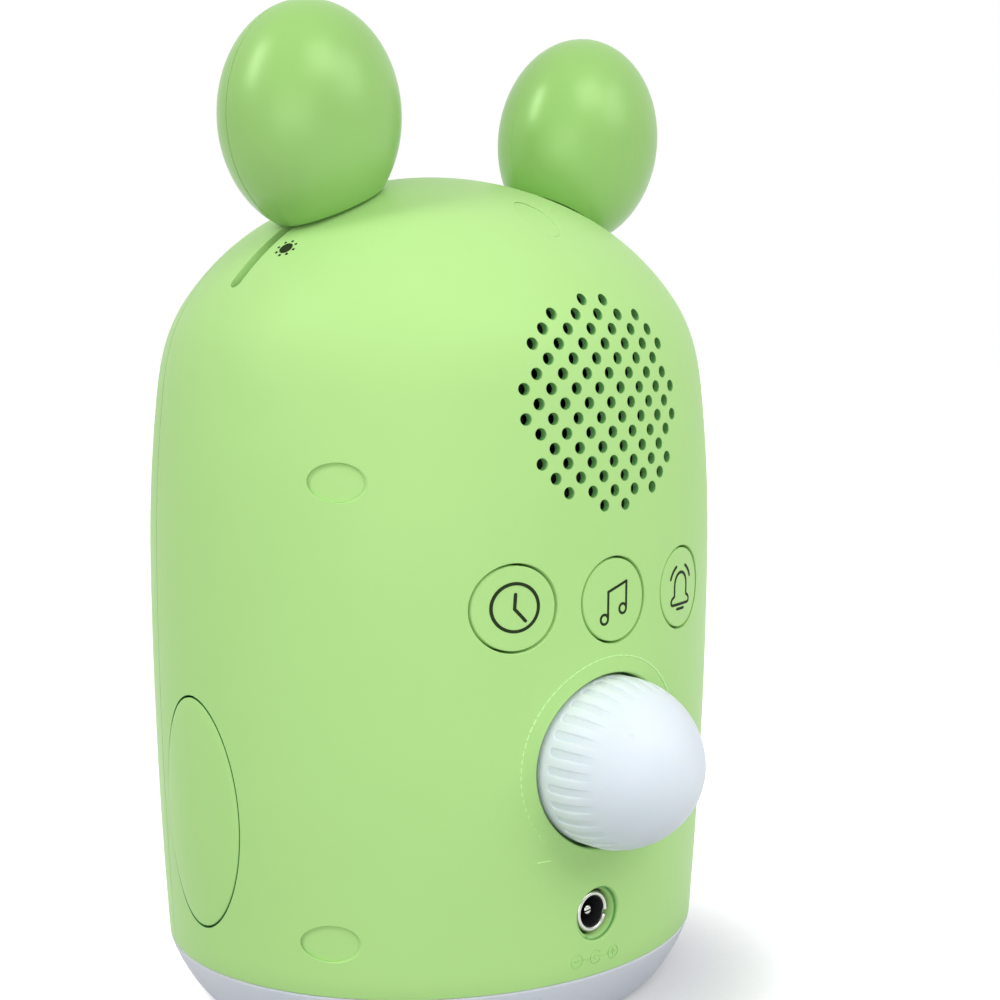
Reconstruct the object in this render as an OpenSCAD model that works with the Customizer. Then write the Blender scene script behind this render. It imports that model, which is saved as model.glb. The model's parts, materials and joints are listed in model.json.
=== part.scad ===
// Children's alarm clock with a night light: a domed body on a glowing base ring, with two round ears.
// The display faces -Y and the controls face +Y. Z is up and z = 0 is the table.

/* [Body] */
// Width of the dome at its widest
body_w = 120; // [110:1:130]
// Depth of the dome, front to back
body_d = 106.6; // [100:0.5:115]
// Thickness of the dome's wall
wall = 2.4; // [2:0.1:3]
// Height of the dome's rim above the table
rim_z = 11.5; // [11:0.5:13]
// Height of the widest place above the rim
waist_h = 76.2; // [70:0.1:80]
// Radius of the side below the waist
lower_side_r = 1070; // [800:10:2000]
// Radii of the arcs from the waist towards the crown
arc_r = [294, 54, 31.4, 53]; // [10:0.2:400]
// Slope angle at which each of those arcs ends
arc_end = [6.7, 15.2, 35.4, 63]; // [1:0.1:89]
// Y of the seam between the front and the rear shell
seam_y = -14; // [-18:0.5:-12]

/* [Ears] */
// Half sizes of an ear: across, front to back, up
ear_r = [18.3, 15.2, 21.4]; // [12:0.1:24]
// Point that the sliding ear swings about
pivot = [7, 0.9, 108.2]; // [0:0.1:120]
// Centre of the ear from the pivot, in the plane that it swings in
ear_at = [27.7, 0, 65.2]; // [0:0.1:70]
// Backward tilt of that plane
ear_tilt = 4.4; // [0:0.1:8]
// Outward lean of the ear's long axis
ear_lean = 3.7; // [0:0.1:10]
// Radius of the ear's hollow foot about the pivot
ear_foot_r = 55.25; // [55.1:0.05:56]
// Wall of an ear shell
ear_wall = 2; // [1.5:0.1:3]
// Offset of the slot and of the ears' seam from the pivot's plane
slot_v = -0.6; // [-1:0.1:1]
// Width of the slot
slot_w = 3; // [2.8:0.1:3.4]
// Angle of the lever from the vertical at rest
lever_a = 24; // [22:1:26]
// Slope angle at which the slot's outer end lies
slot_end_a = 52.7; // [50:0.1:54]

/* [Grille] */
// Diameter of a grille hole
grille_hole = 2.2; // [1.8:0.1:2.5]
// Distance between the holes of a row
grille_pitch = 5.36; // [5:0.02:6]
// Height of the grille's centre and of the speaker
speaker_z = 120.2; // [118:0.1:122]

/* [Controls] */
// Height of the buttons
button_z = 83.8; // [82:0.1:86]
// Distance between the buttons
button_gap = 21.5; // [20:0.5:24]
// Diameter of a button cap
button_d = 15.5; // [14.6:0.1:16]
// Clearance round a cap
button_play = 0.45; // [0.3:0.05:0.5]
// Depth of a cap's face under the dome's surface
button_sink = 0.15; // [0.1:0.05:0.6]
// Height of the volume knob
knob_z = 53.2; // [51:0.1:55]
// Diameter of the volume knob
knob_d = 32.4; // [28:0.2:33]
// Length of the knob
knob_h = 22.2; // [18:0.2:24]
// Height of the straight skirt of the knob
knob_skirt = 5.4; // [3:0.1:7]
// Place of the power inlet, x and z
jack_at = [1.7, 23.7]; // [0:0.1:25]
// Depth of the rim of the power inlet
jack_y = 50.3; // [50:0.1:50.5]

/* [Screws] */
// Places of the shell screws, x and z, on one side and on the middle
screw_at = [[47.4, 106.6], [47.6, 21.9], [-47.4, 106.6], [-47.6, 21.9], [0.2, 154.4]]; // [0:0.1:160]
// Diameter of a screw recess
recess_d = 7; // [6.6:0.1:7.4]
// How far the plugs sit under the surface
plug_sink = 0.4; // [0.2:0.1:0.8]
// Place of a base screw in each quarter, x and y
base_screw_at = [27, 28]; // [26:0.5:28]

/* [Display] */
// Width, height and corner radius of the front window
window = [72, 50, 22]; // [20:1:76]
// Height of the window's centre
window_z = 95; // [92:1:98]
// Depth of the window pane under the dome's surface
window_sink = 0.3; // [0.1:0.1:0.6]
// Thickness of the window pane
window_t = 2.2; // [1.6:0.1:2.6]
// Height of a digit
digit_h = 17; // [14:1:20]

/* [Base] */
// Half width of the base ring at its foot
foot_r = 51; // [49:0.5:53]
// Height of the ring's lower edge above the table
ring_z = 1; // [0.8:0.1:1.2]
// Wall of the base ring
ring_t = 2.2; // [2:0.1:2.6]

/* [Side pads] */
// Half sizes of an oval side pad, along y and z
pad_r = [12, 22.4]; // [8:0.1:24]
// Centre of a pad, y and z
pad_at = [1.2, 42.5]; // [0:0.1:44]
// Height of a pad over the dome
pad_h = 0.7; // [0.4:0.1:1]

/* [Hidden] */

green = "#b3e38f";
white = "#e9eef8";
ink = "#35342c";
black = "#222224";
steel = "#b9bcc0";
board = "#2f6b45";
ratio = body_d / body_w;
big = 140;
print_t = 0.1;
board_y = 34;
board_t = 1.6;
gap = 0.1;
plug_y = 20;
head_y = 8;
post_end_y = -2;
screw_d = 2.9;
ring_h = rim_z - ring_z;
rim_r = body_w / 2 - lower_side_r + sqrt(pow(lower_side_r, 2) - pow(waist_h, 2));
pcb_front_y = -22;
frame_y = -12.4;
frame_post_at = [30, [62, 126]];
display_post_at = [42, [76, 96]];
board_post_at = [26.5, [38, 66]];
well_y = 48.4;
knob_y = 49.25;
sleeve_y = 43.2;
lever_t = 2;
lever_w = 10;
shutter_r = 49.3;

// Outline of the dome, as points of its half section

function dir(a) = [cos(a), sin(a)];
function steps(a0, a1) = max(1, round((a1 - a0) / 6));
function arc(c, r, a0, a1, n) = [for (i = [1:n]) c + r * dir(a0 + (a1 - a0) * i / n)];
// Arcs that follow each other without a corner, each with its own radius, and the last one closes at the axis
function chain(p, a0, i, inset) =
    i == len(arc_r)
    ? let (r = p[0] / cos(a0), c = p - r * dir(a0))
      arc(c, r - inset, a0, 90, steps(a0, 90))
    : let (r = arc_r[i], a1 = arc_end[i], c = p - r * dir(a0))
      concat(arc(c, r - inset, a0, a1, steps(a0, a1)), chain(c + r * dir(a1), a1, i + 1, inset));
function outline(inset) =
    let (low_a = asin(waist_h / lower_side_r), c = [body_w / 2 - lower_side_r, waist_h])
    concat([c + (lower_side_r - inset) * dir(-low_a)],
           arc(c, lower_side_r - inset, -low_a, 0, 3),
           chain([body_w / 2, waist_h], 0, 0, inset));

// The dome, shrunk by inset on every side and lengthened below the rim by skirt
module dome(inset = 0, skirt = 0) {
    points = outline(inset);
    translate([0, 0, rim_z])
        scale([1, ratio, 1])
            rotate_extrude($fn = 96)
                polygon(concat([[0, -skirt]], skirt > 0 ? [[points[0][0], -skirt]] : [], points));
}

// What lies between two insets of the dome
module skin(from, to) {
    difference() {
        dome(from);
        dome(to, 5);
    }
}

module rear_half() {
    translate([-big / 2, seam_y, -1])
        cube([big, big, 2 * big]);
}

module front_half() {
    translate([-big / 2, seam_y - big, -1])
        cube([big, big, 2 * big]);
}

// Rods, tubes and flat shapes that lie along Y

module rod(x, z, y0, y1, d, sides = 48) {
    translate([x, y0, z])
        rotate([-90, 0, 0])
            cylinder(d = d, h = y1 - y0, $fn = sides);
}

module tube(x, z, y0, y1, outer, inner) {
    difference() {
        rod(x, z, y0, y1, outer);
        rod(x, z, y0 - 1, y1 + 1, inner);
    }
}

module box(x, y, z) {
    translate([x[0], y[0], z[0]])
        cube([x[1] - x[0], y[1] - y[0], z[1] - z[0]]);
}

// Puts a flat drawing where somebody behind the clock reads it
module from_behind(x, z) {
    translate([x, 0, z])
        rotate([90, 0, 180])
            linear_extrude(big / 2)
                children();
}

module from_front(x, z) {
    translate([x, 0, z])
        rotate([90, 0, 0])
            linear_extrude(big / 2)
                children();
}

module mirrored() {
    children();
    mirror([1, 0, 0])
        children();
}

// Frames of the ears: the origin is the pivot, z points up the swinging plane and y is the axis of the swing

module ear_frame() {
    translate(pivot)
        rotate([-ear_tilt, 0, 0])
            children();
}

module at_lever() {
    ear_frame()
        rotate([0, lever_a, 0])
            translate([0, slot_v, 0])
                children();
}

// Flat drawings of the symbols

module stroke(a, b, w) {
    d = b - a;
    translate(a) {
        rotate(atan2(d[1], d[0]))
            translate([0, -w / 2])
                square([norm(d), w]);
        circle(d = w, $fn = 24);
    }
    translate(b)
        circle(d = w, $fn = 24);
}

module hoop(d, w) {
    difference() {
        circle(d = d, $fn = 48);
        circle(d = d - 2 * w, $fn = 48);
    }
}

module arc_stroke(r, a0, a1, w) {
    n = 8;
    turns = [for (i = [0:n]) a0 + (a1 - a0) * i / n];
    tip = asin(w / 2 / r);
    polygon(concat([for (a = turns) (r + w / 2) * dir(a)], [r * dir(a1 + tip)],
                   [for (i = [n:-1:0]) (r - w / 2) * dir(turns[i])], [r * dir(a0 - tip)]));
}

module clock_symbol() {
    hub = [-0.15, -0.25];
    translate([0, 0.2]) {
        hoop(9.3, 0.6);
        stroke(hub, [0, 2.4], 0.6);
        stroke(hub, [1.9, -2.5], 0.6);
    }
}

module music_symbol() {
    line = 0.5;
    left = [-1.7, 1.6];
    right = [3, 3.3];
    stem = 5.1;
    head = 2.3;
    stroke(left, right, line);
    for (top = [left, right]) {
        stroke(top, top - [0, stem], line);
        translate(top - [head / 2 - line / 2, stem])
            hoop(head, line);
    }
}

// Outline of a bell, from its crown round the side to the middle of the mouth, and the same mirrored
function bell(r, side) = concat([for (a = [80:-16:0]) [0, 0.7] + r * dir(a)], side);
function both(half) = concat(half, [for (i = [len(half) - 1:-1:0]) [-half[i][0], half[i][1]]]);

module alarm_symbol() {
    line = 0.56;
    translate([0, -0.25]) {
        difference() {
            polygon(both(bell(2.8, [[2.8, -1.15], [3.6, -1.55], [4.1, -2.2], [4, -2.95], [3.4, -3.33]])));
            polygon(both(bell(2.24, [[2.24, -1.5], [3.25, -2], [3.55, -2.4], [3.46, -2.65], [3.1, -2.77]])));
        }
        stroke([-1.4, -3.95], [1.4, -3.95], line);
        translate([0, 0.3]) {
            arc_stroke(4.5, 23, 66, line);
            arc_stroke(4.5, 114, 157, line);
        }
    }
}

module sun_symbol() {
    circle(d = 2.75, $fn = 32);
    for (a = [0:45:315])
        rotate(a)
            translate([2, 0])
                circle(d = 0.56, $fn = 20);
}

module moon_symbol() {
    difference() {
        circle(d = 5, $fn = 48);
        translate([1.5, 0.8])
            circle(d = 4.2, $fn = 48);
    }
}

// Outer shells

module rear_bosses() {
    for (p = screw_at)
        rod(p[0], p[1], post_end_y, big / 2, recess_d + 2.4);
    for (x = [-button_gap, 0, button_gap])
        rod(x, button_z, sleeve_y, big / 2, button_d + 2 * button_play + 3);
    rod(0, knob_z, well_y - 2, big / 2, knob_d + 5);
    rod(0, speaker_z, 40.8, big / 2, 43.6);
    mirrored() {
        rod(24.2, speaker_z, 42, big / 2, 5);
        for (z = board_post_at[1])
            rod(board_post_at[0], z, board_y + board_t, big / 2, 6);
        translate([base_screw_at[0], base_screw_at[1], 5.4])
            cylinder(d = 8, h = 20.6, $fn = 48);
        box([base_screw_at[0] - 1.2, base_screw_at[0] + 1.2], [base_screw_at[1], big / 2], [15.4, 26]);
    }
}

module rear_holes() {
    for (p = screw_at) {
        rod(p[0], p[1], head_y, big, recess_d);
        rod(p[0], p[1], post_end_y - 1, big / 2, 3.2);
    }
    for (x = [-button_gap, 0, button_gap])
        rod(x, button_z, sleeve_y - 1, big, button_d + 2 * button_play);
    rod(0, knob_z, well_y, big, knob_d + 1.2);
    rod(0, knob_z, well_y - 3, big / 2, 7.2);
    rod(jack_at[0], jack_at[1], 44, big, 9.2);
    rod(jack_at[0], jack_at[1], jack_y + 0.3, big, 10.4);
    rod(0, speaker_z, 40, 43, 40.6);
    rod(0, speaker_z, 40, 47.6, 36.4);
    for (row = [-7:7], i = [-4:4]) {
        place = [(i + (row % 2 == 0 ? 0 : 0.5)) * grille_pitch, row * grille_pitch / 2];
        if (norm(place) < 3.7 * grille_pitch)
            rod(place[0], speaker_z + place[1], 40, big / 2, grille_hole, 24);
    }
    mirrored() {
        rod(24.2, speaker_z, 41, 46, 1.8);
        for (z = board_post_at[1])
            rod(board_post_at[0], z, board_y, board_y + board_t + 5, 1.8);
        translate([base_screw_at[0], base_screw_at[1], 4])
            cylinder(d = screw_d, h = 12, $fn = 32);
    }
}

// Curved slot of the sliding ear, with round ends
module dimmer_slot() {
    start_a = lever_a - asin((lever_w / 2 + 0.8) / ear_foot_r);
    end_a = slot_end_a - asin(slot_w / 2 / ear_foot_r);
    ear_frame()
        translate([0, slot_v, 0]) {
            rotate([90, 0, 0])
                rotate([0, 0, 90 - end_a])
                    rotate_extrude(angle = end_a - start_a, $fn = 96)
                        translate([48, -slot_w / 2])
                            square([12, slot_w]);
            for (a = [start_a, end_a])
                rotate([0, a, 0])
                    translate([0, 0, 48])
                        cylinder(d = slot_w, h = 12, $fn = 32);
        }
}

module rear_shell() {
    color(green)
        difference() {
            union() {
                intersection() {
                    skin(0, wall);
                    rear_half();
                }
                intersection() {
                    rear_bosses();
                    dome(1, 7);
                }
            }
            rear_holes();
            dimmer_slot();
            mirror([1, 0, 0])
                at_lever()
                    translate([0, 0, 54])
                        cube([lever_w + 0.2, lever_t + 0.2, 12], center = true);
            mirrored()
                pad_oval(gap, 1);
        }
}

// Oval on the lower side, cut from the dome outside inset
module pad_oval(play, inset) {
    difference() {
        translate([0, pad_at[0], pad_at[1]])
            rotate([0, 90, 0])
                scale([(pad_r[1] + play) / (pad_r[0] + play), 1, 1])
                    cylinder(r = pad_r[0] + play, h = big / 2, $fn = 96);
        dome(inset, 5);
    }
}

module side_pads() {
    color(green)
        mirrored()
            intersection() {
                pad_oval(0, 1);
                dome(-pad_h, 5);
            }
}

module front_bosses() {
    for (p = screw_at)
        rod(p[0], p[1], -big / 2, post_end_y, 7);
    mirrored() {
        for (z = frame_post_at[1])
            rod(frame_post_at[0], z, -big / 2, frame_y, 6);
        for (z = display_post_at[1])
            rod(display_post_at[0], z, -big / 2, pcb_front_y, 5.2);
        translate([base_screw_at[0], -base_screw_at[1], 5.4])
            cylinder(d = 8, h = 20.6, $fn = 48);
        box([base_screw_at[0] - 1.2, base_screw_at[0] + 1.2], [-big / 2, -base_screw_at[1]], [15.4, 26]);
    }
}

module front_holes() {
    for (p = screw_at)
        rod(p[0], p[1], -14, 0, screw_d, 32);
    window_shape(gap, 0, big / 2);
    mirrored() {
        for (z = frame_post_at[1])
            rod(frame_post_at[0], z, frame_y - 6, 0, 1.8, 24);
        for (z = display_post_at[1])
            rod(display_post_at[0], z, pcb_front_y - 6, 0, 1.8, 24);
        translate([base_screw_at[0], -base_screw_at[1], 4])
            cylinder(d = screw_d, h = 12, $fn = 32);
    }
}

module front_shell() {
    color(green)
        difference() {
            union() {
                intersection() {
                    skin(0, wall);
                    front_half();
                }
                intersection() {
                    skin(wall - 0.5, wall + 1.2);
                    box([-big / 2, big / 2], [seam_y - 3, seam_y], [15.6, 2 * big]);
                }
                intersection() {
                    skin(wall + 0.12, wall + 1.2);
                    box([-big / 2, big / 2], [seam_y - 1, seam_y + 1.5], [15.6, 2 * big]);
                }
                intersection() {
                    front_bosses();
                    dome(1, 7);
                }
            }
            front_holes();
        }
}

// Fasteners of the shells

module screw_plugs() {
    color(green)
        for (p = screw_at)
            intersection() {
                rod(p[0], p[1], plug_y, big / 2, recess_d - 0.1);
                dome(plug_sink);
            }
}

module screw(head, shank, length, head_h) {
    difference() {
        union() {
            cylinder(d = head, h = head_h, $fn = 32);
            translate([0, 0, -length])
                cylinder(d = shank, h = length, $fn = 32);
        }
        translate([0, 0, head_h - head_h / 2]) {
            cube([head * 0.6, head * 0.14, head_h + 1], center = true);
            cube([head * 0.14, head * 0.6, head_h + 1], center = true);
        }
    }
}

module shell_screws() {
    color(steel)
        for (p = screw_at)
            translate([p[0], head_y, p[1]])
                rotate([-90, 0, 0])
                    screw(5.6, screw_d, 20, 2);
}

// Buttons

module button_cap(x) {
    color(green)
        difference() {
            union() {
                intersection() {
                    rod(x, button_z, sleeve_y - 1.8, big / 2, button_d);
                    dome(button_sink);
                }
                rod(x, button_z, sleeve_y - 1.8, sleeve_y - gap, button_d + 2.4);
            }
            intersection() {
                tube(x, button_z, sleeve_y - 3, big / 2, button_d - 2.4, 4);
                dome(button_sink + 1.6, 5);
            }
        }
    color(green)
        rod(x, button_z, 40.2, sleeve_y - 1.8, 4);
}

module button_symbol(x) {
    color(ink)
        intersection() {
            skin(button_sink - print_t, button_sink);
            from_behind(x, button_z)
                children();
        }
}

module plunger(x) {
    color("white")
        rod(x, button_z, 37.4, 40.2, 3.5);
}

module clock_button() {
    button_cap(button_gap);
}

module music_button() {
    button_cap(0);
}

module alarm_button() {
    button_cap(-button_gap);
}

module clock_icon() {
    button_symbol(button_gap)
        clock_symbol();
}

module music_icon() {
    button_symbol(0)
        music_symbol();
}

module alarm_icon() {
    button_symbol(-button_gap)
        alarm_symbol();
}

module clock_plunger() {
    plunger(button_gap);
}

module music_plunger() {
    plunger(0);
}

module alarm_plunger() {
    plunger(-button_gap);
}

module tact_switches() {
    color(black)
        for (x = [-button_gap, 0, button_gap])
            difference() {
                box([x - 3, x + 3], [board_y + board_t, 39], [button_z - 3, button_z + 3]);
                rod(x, button_z, 36.5, 40, 3.62);
            }
}

// Volume control

function dome_r(r, h, y) = r * pow(1 - pow(y / h, 1.86), 1 / 1.86);
function knob_side(r, skirt, h) =
    concat([for (a = [0:7.5:82.5]) [dome_r(r, h, h * sin(a)), skirt + h * sin(a)]], [[0, skirt + h]]);

module volume_knob() {
    r = knob_d / 2;
    shell = 2;
    color(white)
        translate([0, knob_y, knob_z])
            rotate([-90, 0, 0])
                difference() {
                    rotate_extrude($fn = 96)
                        polygon(concat([[0, 0], [r - 0.6, 0], [r, 0.6]], knob_side(r, knob_skirt, knob_h - knob_skirt)));
                    difference() {
                        translate([0, 0, -1])
                            rotate_extrude($fn = 96)
                                polygon(concat([[0, 0], [r - shell, 0]],
                                               knob_side(r - shell, knob_skirt + 1, knob_h - knob_skirt - shell)));
                        translate([0, 0, 1.75])
                            cylinder(d = 10, h = knob_h, $fn = 48);
                    }
                    translate([0, 0, -1])
                        cylinder(d = 6, h = 17.75, $fn = 48);
                }
}

module volume_shaft() {
    color(steel)
        rod(0, knob_z, 38, 66, 6);
}

module volume_pot() {
    color(steel)
        difference() {
            union() {
                rod(0, knob_z, board_y + board_t, 42.6, 16);
                rod(0, knob_z, 42, 50.8, 7);
            }
            rod(0, knob_z, 37.8, 52, 6.1);
        }
}

module volume_nut() {
    color(steel)
        difference() {
            rod(0, knob_z, well_y, well_y + 1.8, 11.5, 6);
            rod(0, knob_z, well_y - 1, well_y + 3, 7);
        }
}

// Power inlet

module jack_housing() {
    color(black)
        difference() {
            union() {
                rod(jack_at[0], jack_at[1], 44, 48.1, 9.2);
                box([jack_at[0] - 4.8, jack_at[0] + 4.8], [board_y + board_t, 45],
                    [jack_at[1] - 5.4, jack_at[1] + 5.4]);
            }
            rod(jack_at[0], jack_at[1], 39.5, 50, 8);
            rod(jack_at[0], jack_at[1], 38, 40, 2);
        }
}

module jack_barrel() {
    color(steel)
        tube(jack_at[0], jack_at[1], 39.5, jack_y, 8, 6);
}

module jack_pin() {
    color(steel) {
        rod(jack_at[0], jack_at[1], 38, jack_y - 1.9, 2);
        translate([jack_at[0], jack_y - 1.9, jack_at[1]])
            rotate([-90, 0, 0])
                cylinder(d1 = 2, d2 = 1.2, h = 0.5, $fn = 32);
    }
}

module main_board() {
    color(board)
        difference() {
            union() {
                box([-30, 30], [board_y, board_y + board_t], [30, 96]);
                box([-24, 24], [board_y, board_y + board_t], [16, 31]);
            }
            mirrored()
                for (z = board_post_at[1])
                    rod(board_post_at[0], z, board_y - 1, board_y + board_t + 1, 2.2, 24);
        }
}

module board_screws() {
    color(steel)
        mirrored()
            for (z = board_post_at[1])
                translate([board_post_at[0], board_y, z])
                    rotate([90, 0, 0])
                        screw(3.6, 1.8, 5, 1.2);
}

// Plugs of the wires, on the front of the main board
module connectors() {
    color(white) {
        box([-8, 8], [30, board_y], [84, 90]);
        box([-7, 7], [30, board_y], [61, 67]);
        box([-6, 6], [30, board_y], [30, 36]);
    }
}

// Speaker

module around_speaker() {
    translate([0, 0, speaker_z])
        rotate([-90, 0, 0])
            rotate_extrude($fn = 72)
                children();
}

module speaker_frame() {
    color(black)
        difference() {
            union() {
                around_speaker()
                    polygon([[17, 42], [20.2, 42], [20.2, 40.8], [19, 40.8], [12, 31], [9, 31], [9, 32], [11.4, 32],
                             [17, 40]]);
                box([-3, 3], [33.4, 34.6], [98.2, 107.4]);
            }
            for (a = [30:60:330])
                translate([0, 0, speaker_z])
                    rotate([0, a, 0])
                        box([-3, 3], [33, 38], [12.5, 17.2]);
        }
}

module speaker_gasket() {
    color(black)
        tube(0, speaker_z, 42, 43, 40, 35);
}

// Paper cone with its rolled edge and its dust cap
module speaker_cone() {
    color("#3b3b3d")
        around_speaker() {
            difference() {
                translate([15.2, 41.4])
                    circle(r = 1.8, $fn = 32);
                translate([15.2, 41.4])
                    circle(r = 1.3, $fn = 32);
                translate([12, 38])
                    square([8, 3.4]);
            }
            polygon([[13.4, 41.4], [13.9, 41.4], [6, 34], [0, 34], [0, 34.6], [5.7, 34.6]]);
            intersection() {
                difference() {
                    translate([0, 30])
                        circle(r = 8.2, $fn = 48);
                    translate([0, 30])
                        circle(r = 7.6, $fn = 48);
                }
                translate([0, 34.6])
                    square([8, 8]);
            }
        }
}

module speaker_magnet() {
    color(steel)
        rod(0, speaker_z, 24, 31, 22);
}

module speaker_screws() {
    color(steel)
        mirrored()
            translate([24.2, 40.8, speaker_z])
                rotate([90, 0, 0])
                    screw(9.4, 1.8, 5, 1.4);
}

// Insulated lead of width w and thickness t, along points in y and z
module lead(x, points, w, t) {
    translate([x - w / 2, 0, 0])
        rotate([90, 0, 90])
            linear_extrude(w)
                for (i = [0:len(points) - 2])
                    stroke(points[i], points[i + 1], t);
}

module speaker_wires() {
    color("#b03028")
        for (x = [-2, 2])
            lead(x, [[33.5, 97.4], [32.4, 94], [32, 90.6]], 1.2, 1.2);
}

// Ears

module ear_solid(inset, turn) {
    translate(ear_at)
        rotate([0, ear_lean, 0])
            scale([ear_r[0] - inset, ear_r[1] - inset, ear_r[2] - inset])
                rotate(turn)
                    sphere(1, $fn = 96);
}

// Ball about the pivot that follows the dome under an ear
module foot_ball(r) {
    rotate(180)
        sphere(r, $fn = 96);
}

// Hollow ear, with a floor that has a slit for the lever; turn keeps the spheres' own seam off the cut
module ear_shell(turn) {
    difference() {
        ear_solid(0, turn);
        difference() {
            ear_solid(ear_wall, turn);
            foot_ball(ear_foot_r + ear_wall);
        }
        foot_ball(ear_foot_r);
        rotate([0, lever_a, 0])
            translate([0, slot_v, ear_foot_r])
                cube([lever_w, lever_t, 20], center = true);
    }
}

module ear_rear() {
    ear_frame()
        intersection() {
            ear_shell(-90);
            translate([0, slot_v, 0])
                box([-20, 80], [0, 30], [20, 120]);
        }
}

module ear_front() {
    ear_frame()
        intersection() {
            ear_shell(0);
            translate([0, slot_v, 0])
                box([-20, 80], [-30, 0], [20, 120]);
        }
}

module dimmer_ear_rear() {
    color(green)
        ear_rear();
}

module dimmer_ear_front() {
    color(green)
        ear_front();
}

module fixed_ear_rear() {
    color(green)
        mirror([1, 0, 0])
            ear_rear();
}

module fixed_ear_front() {
    color(green)
        mirror([1, 0, 0])
            ear_front();
}

module fixed_ear_anchor() {
    color(green)
        mirror([1, 0, 0])
            at_lever()
                translate([-lever_w / 2, -lever_t / 2, 46])
                    cube([lever_w, lever_t, 24]);
}

module anchor_clip() {
    color(steel)
        mirror([1, 0, 0])
            at_lever()
                difference() {
                    translate([-6, -4, 49.6])
                        cube([12, 8, 1.4]);
                    translate([-lever_w / 2, -lever_t / 2, 45])
                        cube([lever_w, lever_t, 24]);
                }
}

// Lever that carries the sliding ear, on the shaft of its potentiometer
module dimmer_arm() {
    color(green)
        at_lever()
            difference() {
                union() {
                    translate([-4, -lever_t / 2, 0])
                        cube([8, lever_t, 51]);
                    translate([-lever_w / 2, -lever_t / 2, 50])
                        cube([lever_w, lever_t, 20]);
                    rod(0, 0, -lever_t / 2, 3.6, 13);
                }
                rod(0, 0, -5, 5, 6);
            }
}

// Strip under the dome that closes the slot and moves with the lever
module dimmer_shutter() {
    color(green)
        difference() {
            ear_frame()
                translate([0, slot_v, 0])
                    rotate([90, 0, 0])
                        rotate([0, 0, 90 - 54])
                            rotate_extrude(angle = 52, $fn = 96)
                                translate([shutter_r - 1, -4.5])
                                    square([1, 9]);
            at_lever()
                translate([0, 0, 48])
                    cube([8, lever_t, 10], center = true);
        }
}

module dimmer_shaft() {
    color(steel)
        ear_frame()
            rod(0, 0, -8, 3, 6);
}

module dimmer_pot() {
    color(steel)
        ear_frame()
            difference() {
                rod(0, 0, -10, -3.2, 17);
                rod(0, 0, -8.2, -2, 6.1);
            }
}

module dimmer_wires() {
    color("#b03028")
        for (x = [4.5, 7, 9.5])
            lead(x, [[-4, 98.8], [-4.4, 95], [-8, 90], [-14, 86], [pcb_front_y + board_t + 0.5, 84]], 1, 1);
}

module sun_icon() {
    color(ink)
        intersection() {
            skin(-print_t, 0);
            ear_frame()
                rotate([-5, 41.3, 0])
                    translate([0, 0.6, 50])
                        rotate(4)
                            linear_extrude(8)
                                sun_symbol();
        }
}

// Inner frame that carries the potentiometer of the ear
module mid_frame() {
    color("white")
        difference() {
            union() {
                box([-34, 34], [frame_y, frame_y + 2.4], [58, 130]);
                ear_frame()
                    rod(0, 0, -12.6, -6, 22);
            }
            box([-22, 22], [frame_y - 1, frame_y + 4], [64, 92]);
            ear_frame()
                rod(0, 0, -10, 0, 17);
            mirrored()
                for (z = frame_post_at[1])
                    rod(frame_post_at[0], z, frame_y - 1, frame_y + 4, 2.2, 24);
        }
}

module frame_screws() {
    color(steel)
        mirrored()
            for (z = frame_post_at[1])
                translate([frame_post_at[0], frame_y + 2.4, z])
                    rotate([-90, 0, 0])
                        screw(4, 1.8, 8, 1.4);
}

// Display

// Rounded window, larger than the pane by grow, between two depths in front of the middle
module window_shape(grow, y0, y1) {
    w = window[0] / 2 + grow;
    h = window[1] / 2 + grow;
    r = window[2] + grow;
    translate([0, 0, window_z])
        rotate([90, 0, 0])
            translate([0, 0, y0]) {
                translate([-w, r - h, 0])
                    cube([2 * w, 2 * (h - r), y1 - y0]);
                translate([r - w, -h, 0])
                    cube([2 * (w - r), 2 * h, y1 - y0]);
                for (x = [r - w, w - r], z = [r - h, h - r])
                    translate([x, z, 0])
                        cylinder(r = r, h = y1 - y0, $fn = 96);
            }
}

module front_panel() {
    color(white)
        union() {
            intersection() {
                window_shape(0, 0, big / 2);
                skin(window_sink, window_sink + window_t);
            }
            intersection() {
                window_shape(2.5, 0, big / 2);
                skin(wall + gap, window_sink + window_t + 1);
            }
        }
}

// Segments a to g that light up for the digits 0 to 9
lit = ["abcdef", "bc", "abged", "abgcd", "fgbc", "afgcd", "afgedc", "abc", "abcdefg", "abcdfg"];

module segment(name, w, h, t) {
    inset = t * 0.62;
    if (name == "a") stroke([inset - w / 2, h / 2], [w / 2 - inset, h / 2], t);
    if (name == "g") stroke([inset - w / 2, 0], [w / 2 - inset, 0], t);
    if (name == "d") stroke([inset - w / 2, -h / 2], [w / 2 - inset, -h / 2], t);
    if (name == "b") stroke([w / 2, inset], [w / 2, h / 2 - inset], t);
    if (name == "c") stroke([w / 2, -inset], [w / 2, inset - h / 2], t);
    if (name == "f") stroke([-w / 2, inset], [-w / 2, h / 2 - inset], t);
    if (name == "e") stroke([-w / 2, -inset], [-w / 2, inset - h / 2], t);
}

module digit(value) {
    for (name = lit[value])
        segment(name, digit_h * 0.5, digit_h, 1.7);
}

module display_digits() {
    color("#ffb347")
        intersection() {
            skin(window_sink - print_t, window_sink);
            from_front(0, window_z + 4) {
                translate([-17, 0])
                    digit(7);
                for (z = [-3.4, 3.4])
                    translate([-7.2, z])
                        circle(d = 2.2, $fn = 32);
                translate([2.6, 0])
                    digit(3);
                translate([17, 0])
                    digit(0);
            }
        }
}

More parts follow.
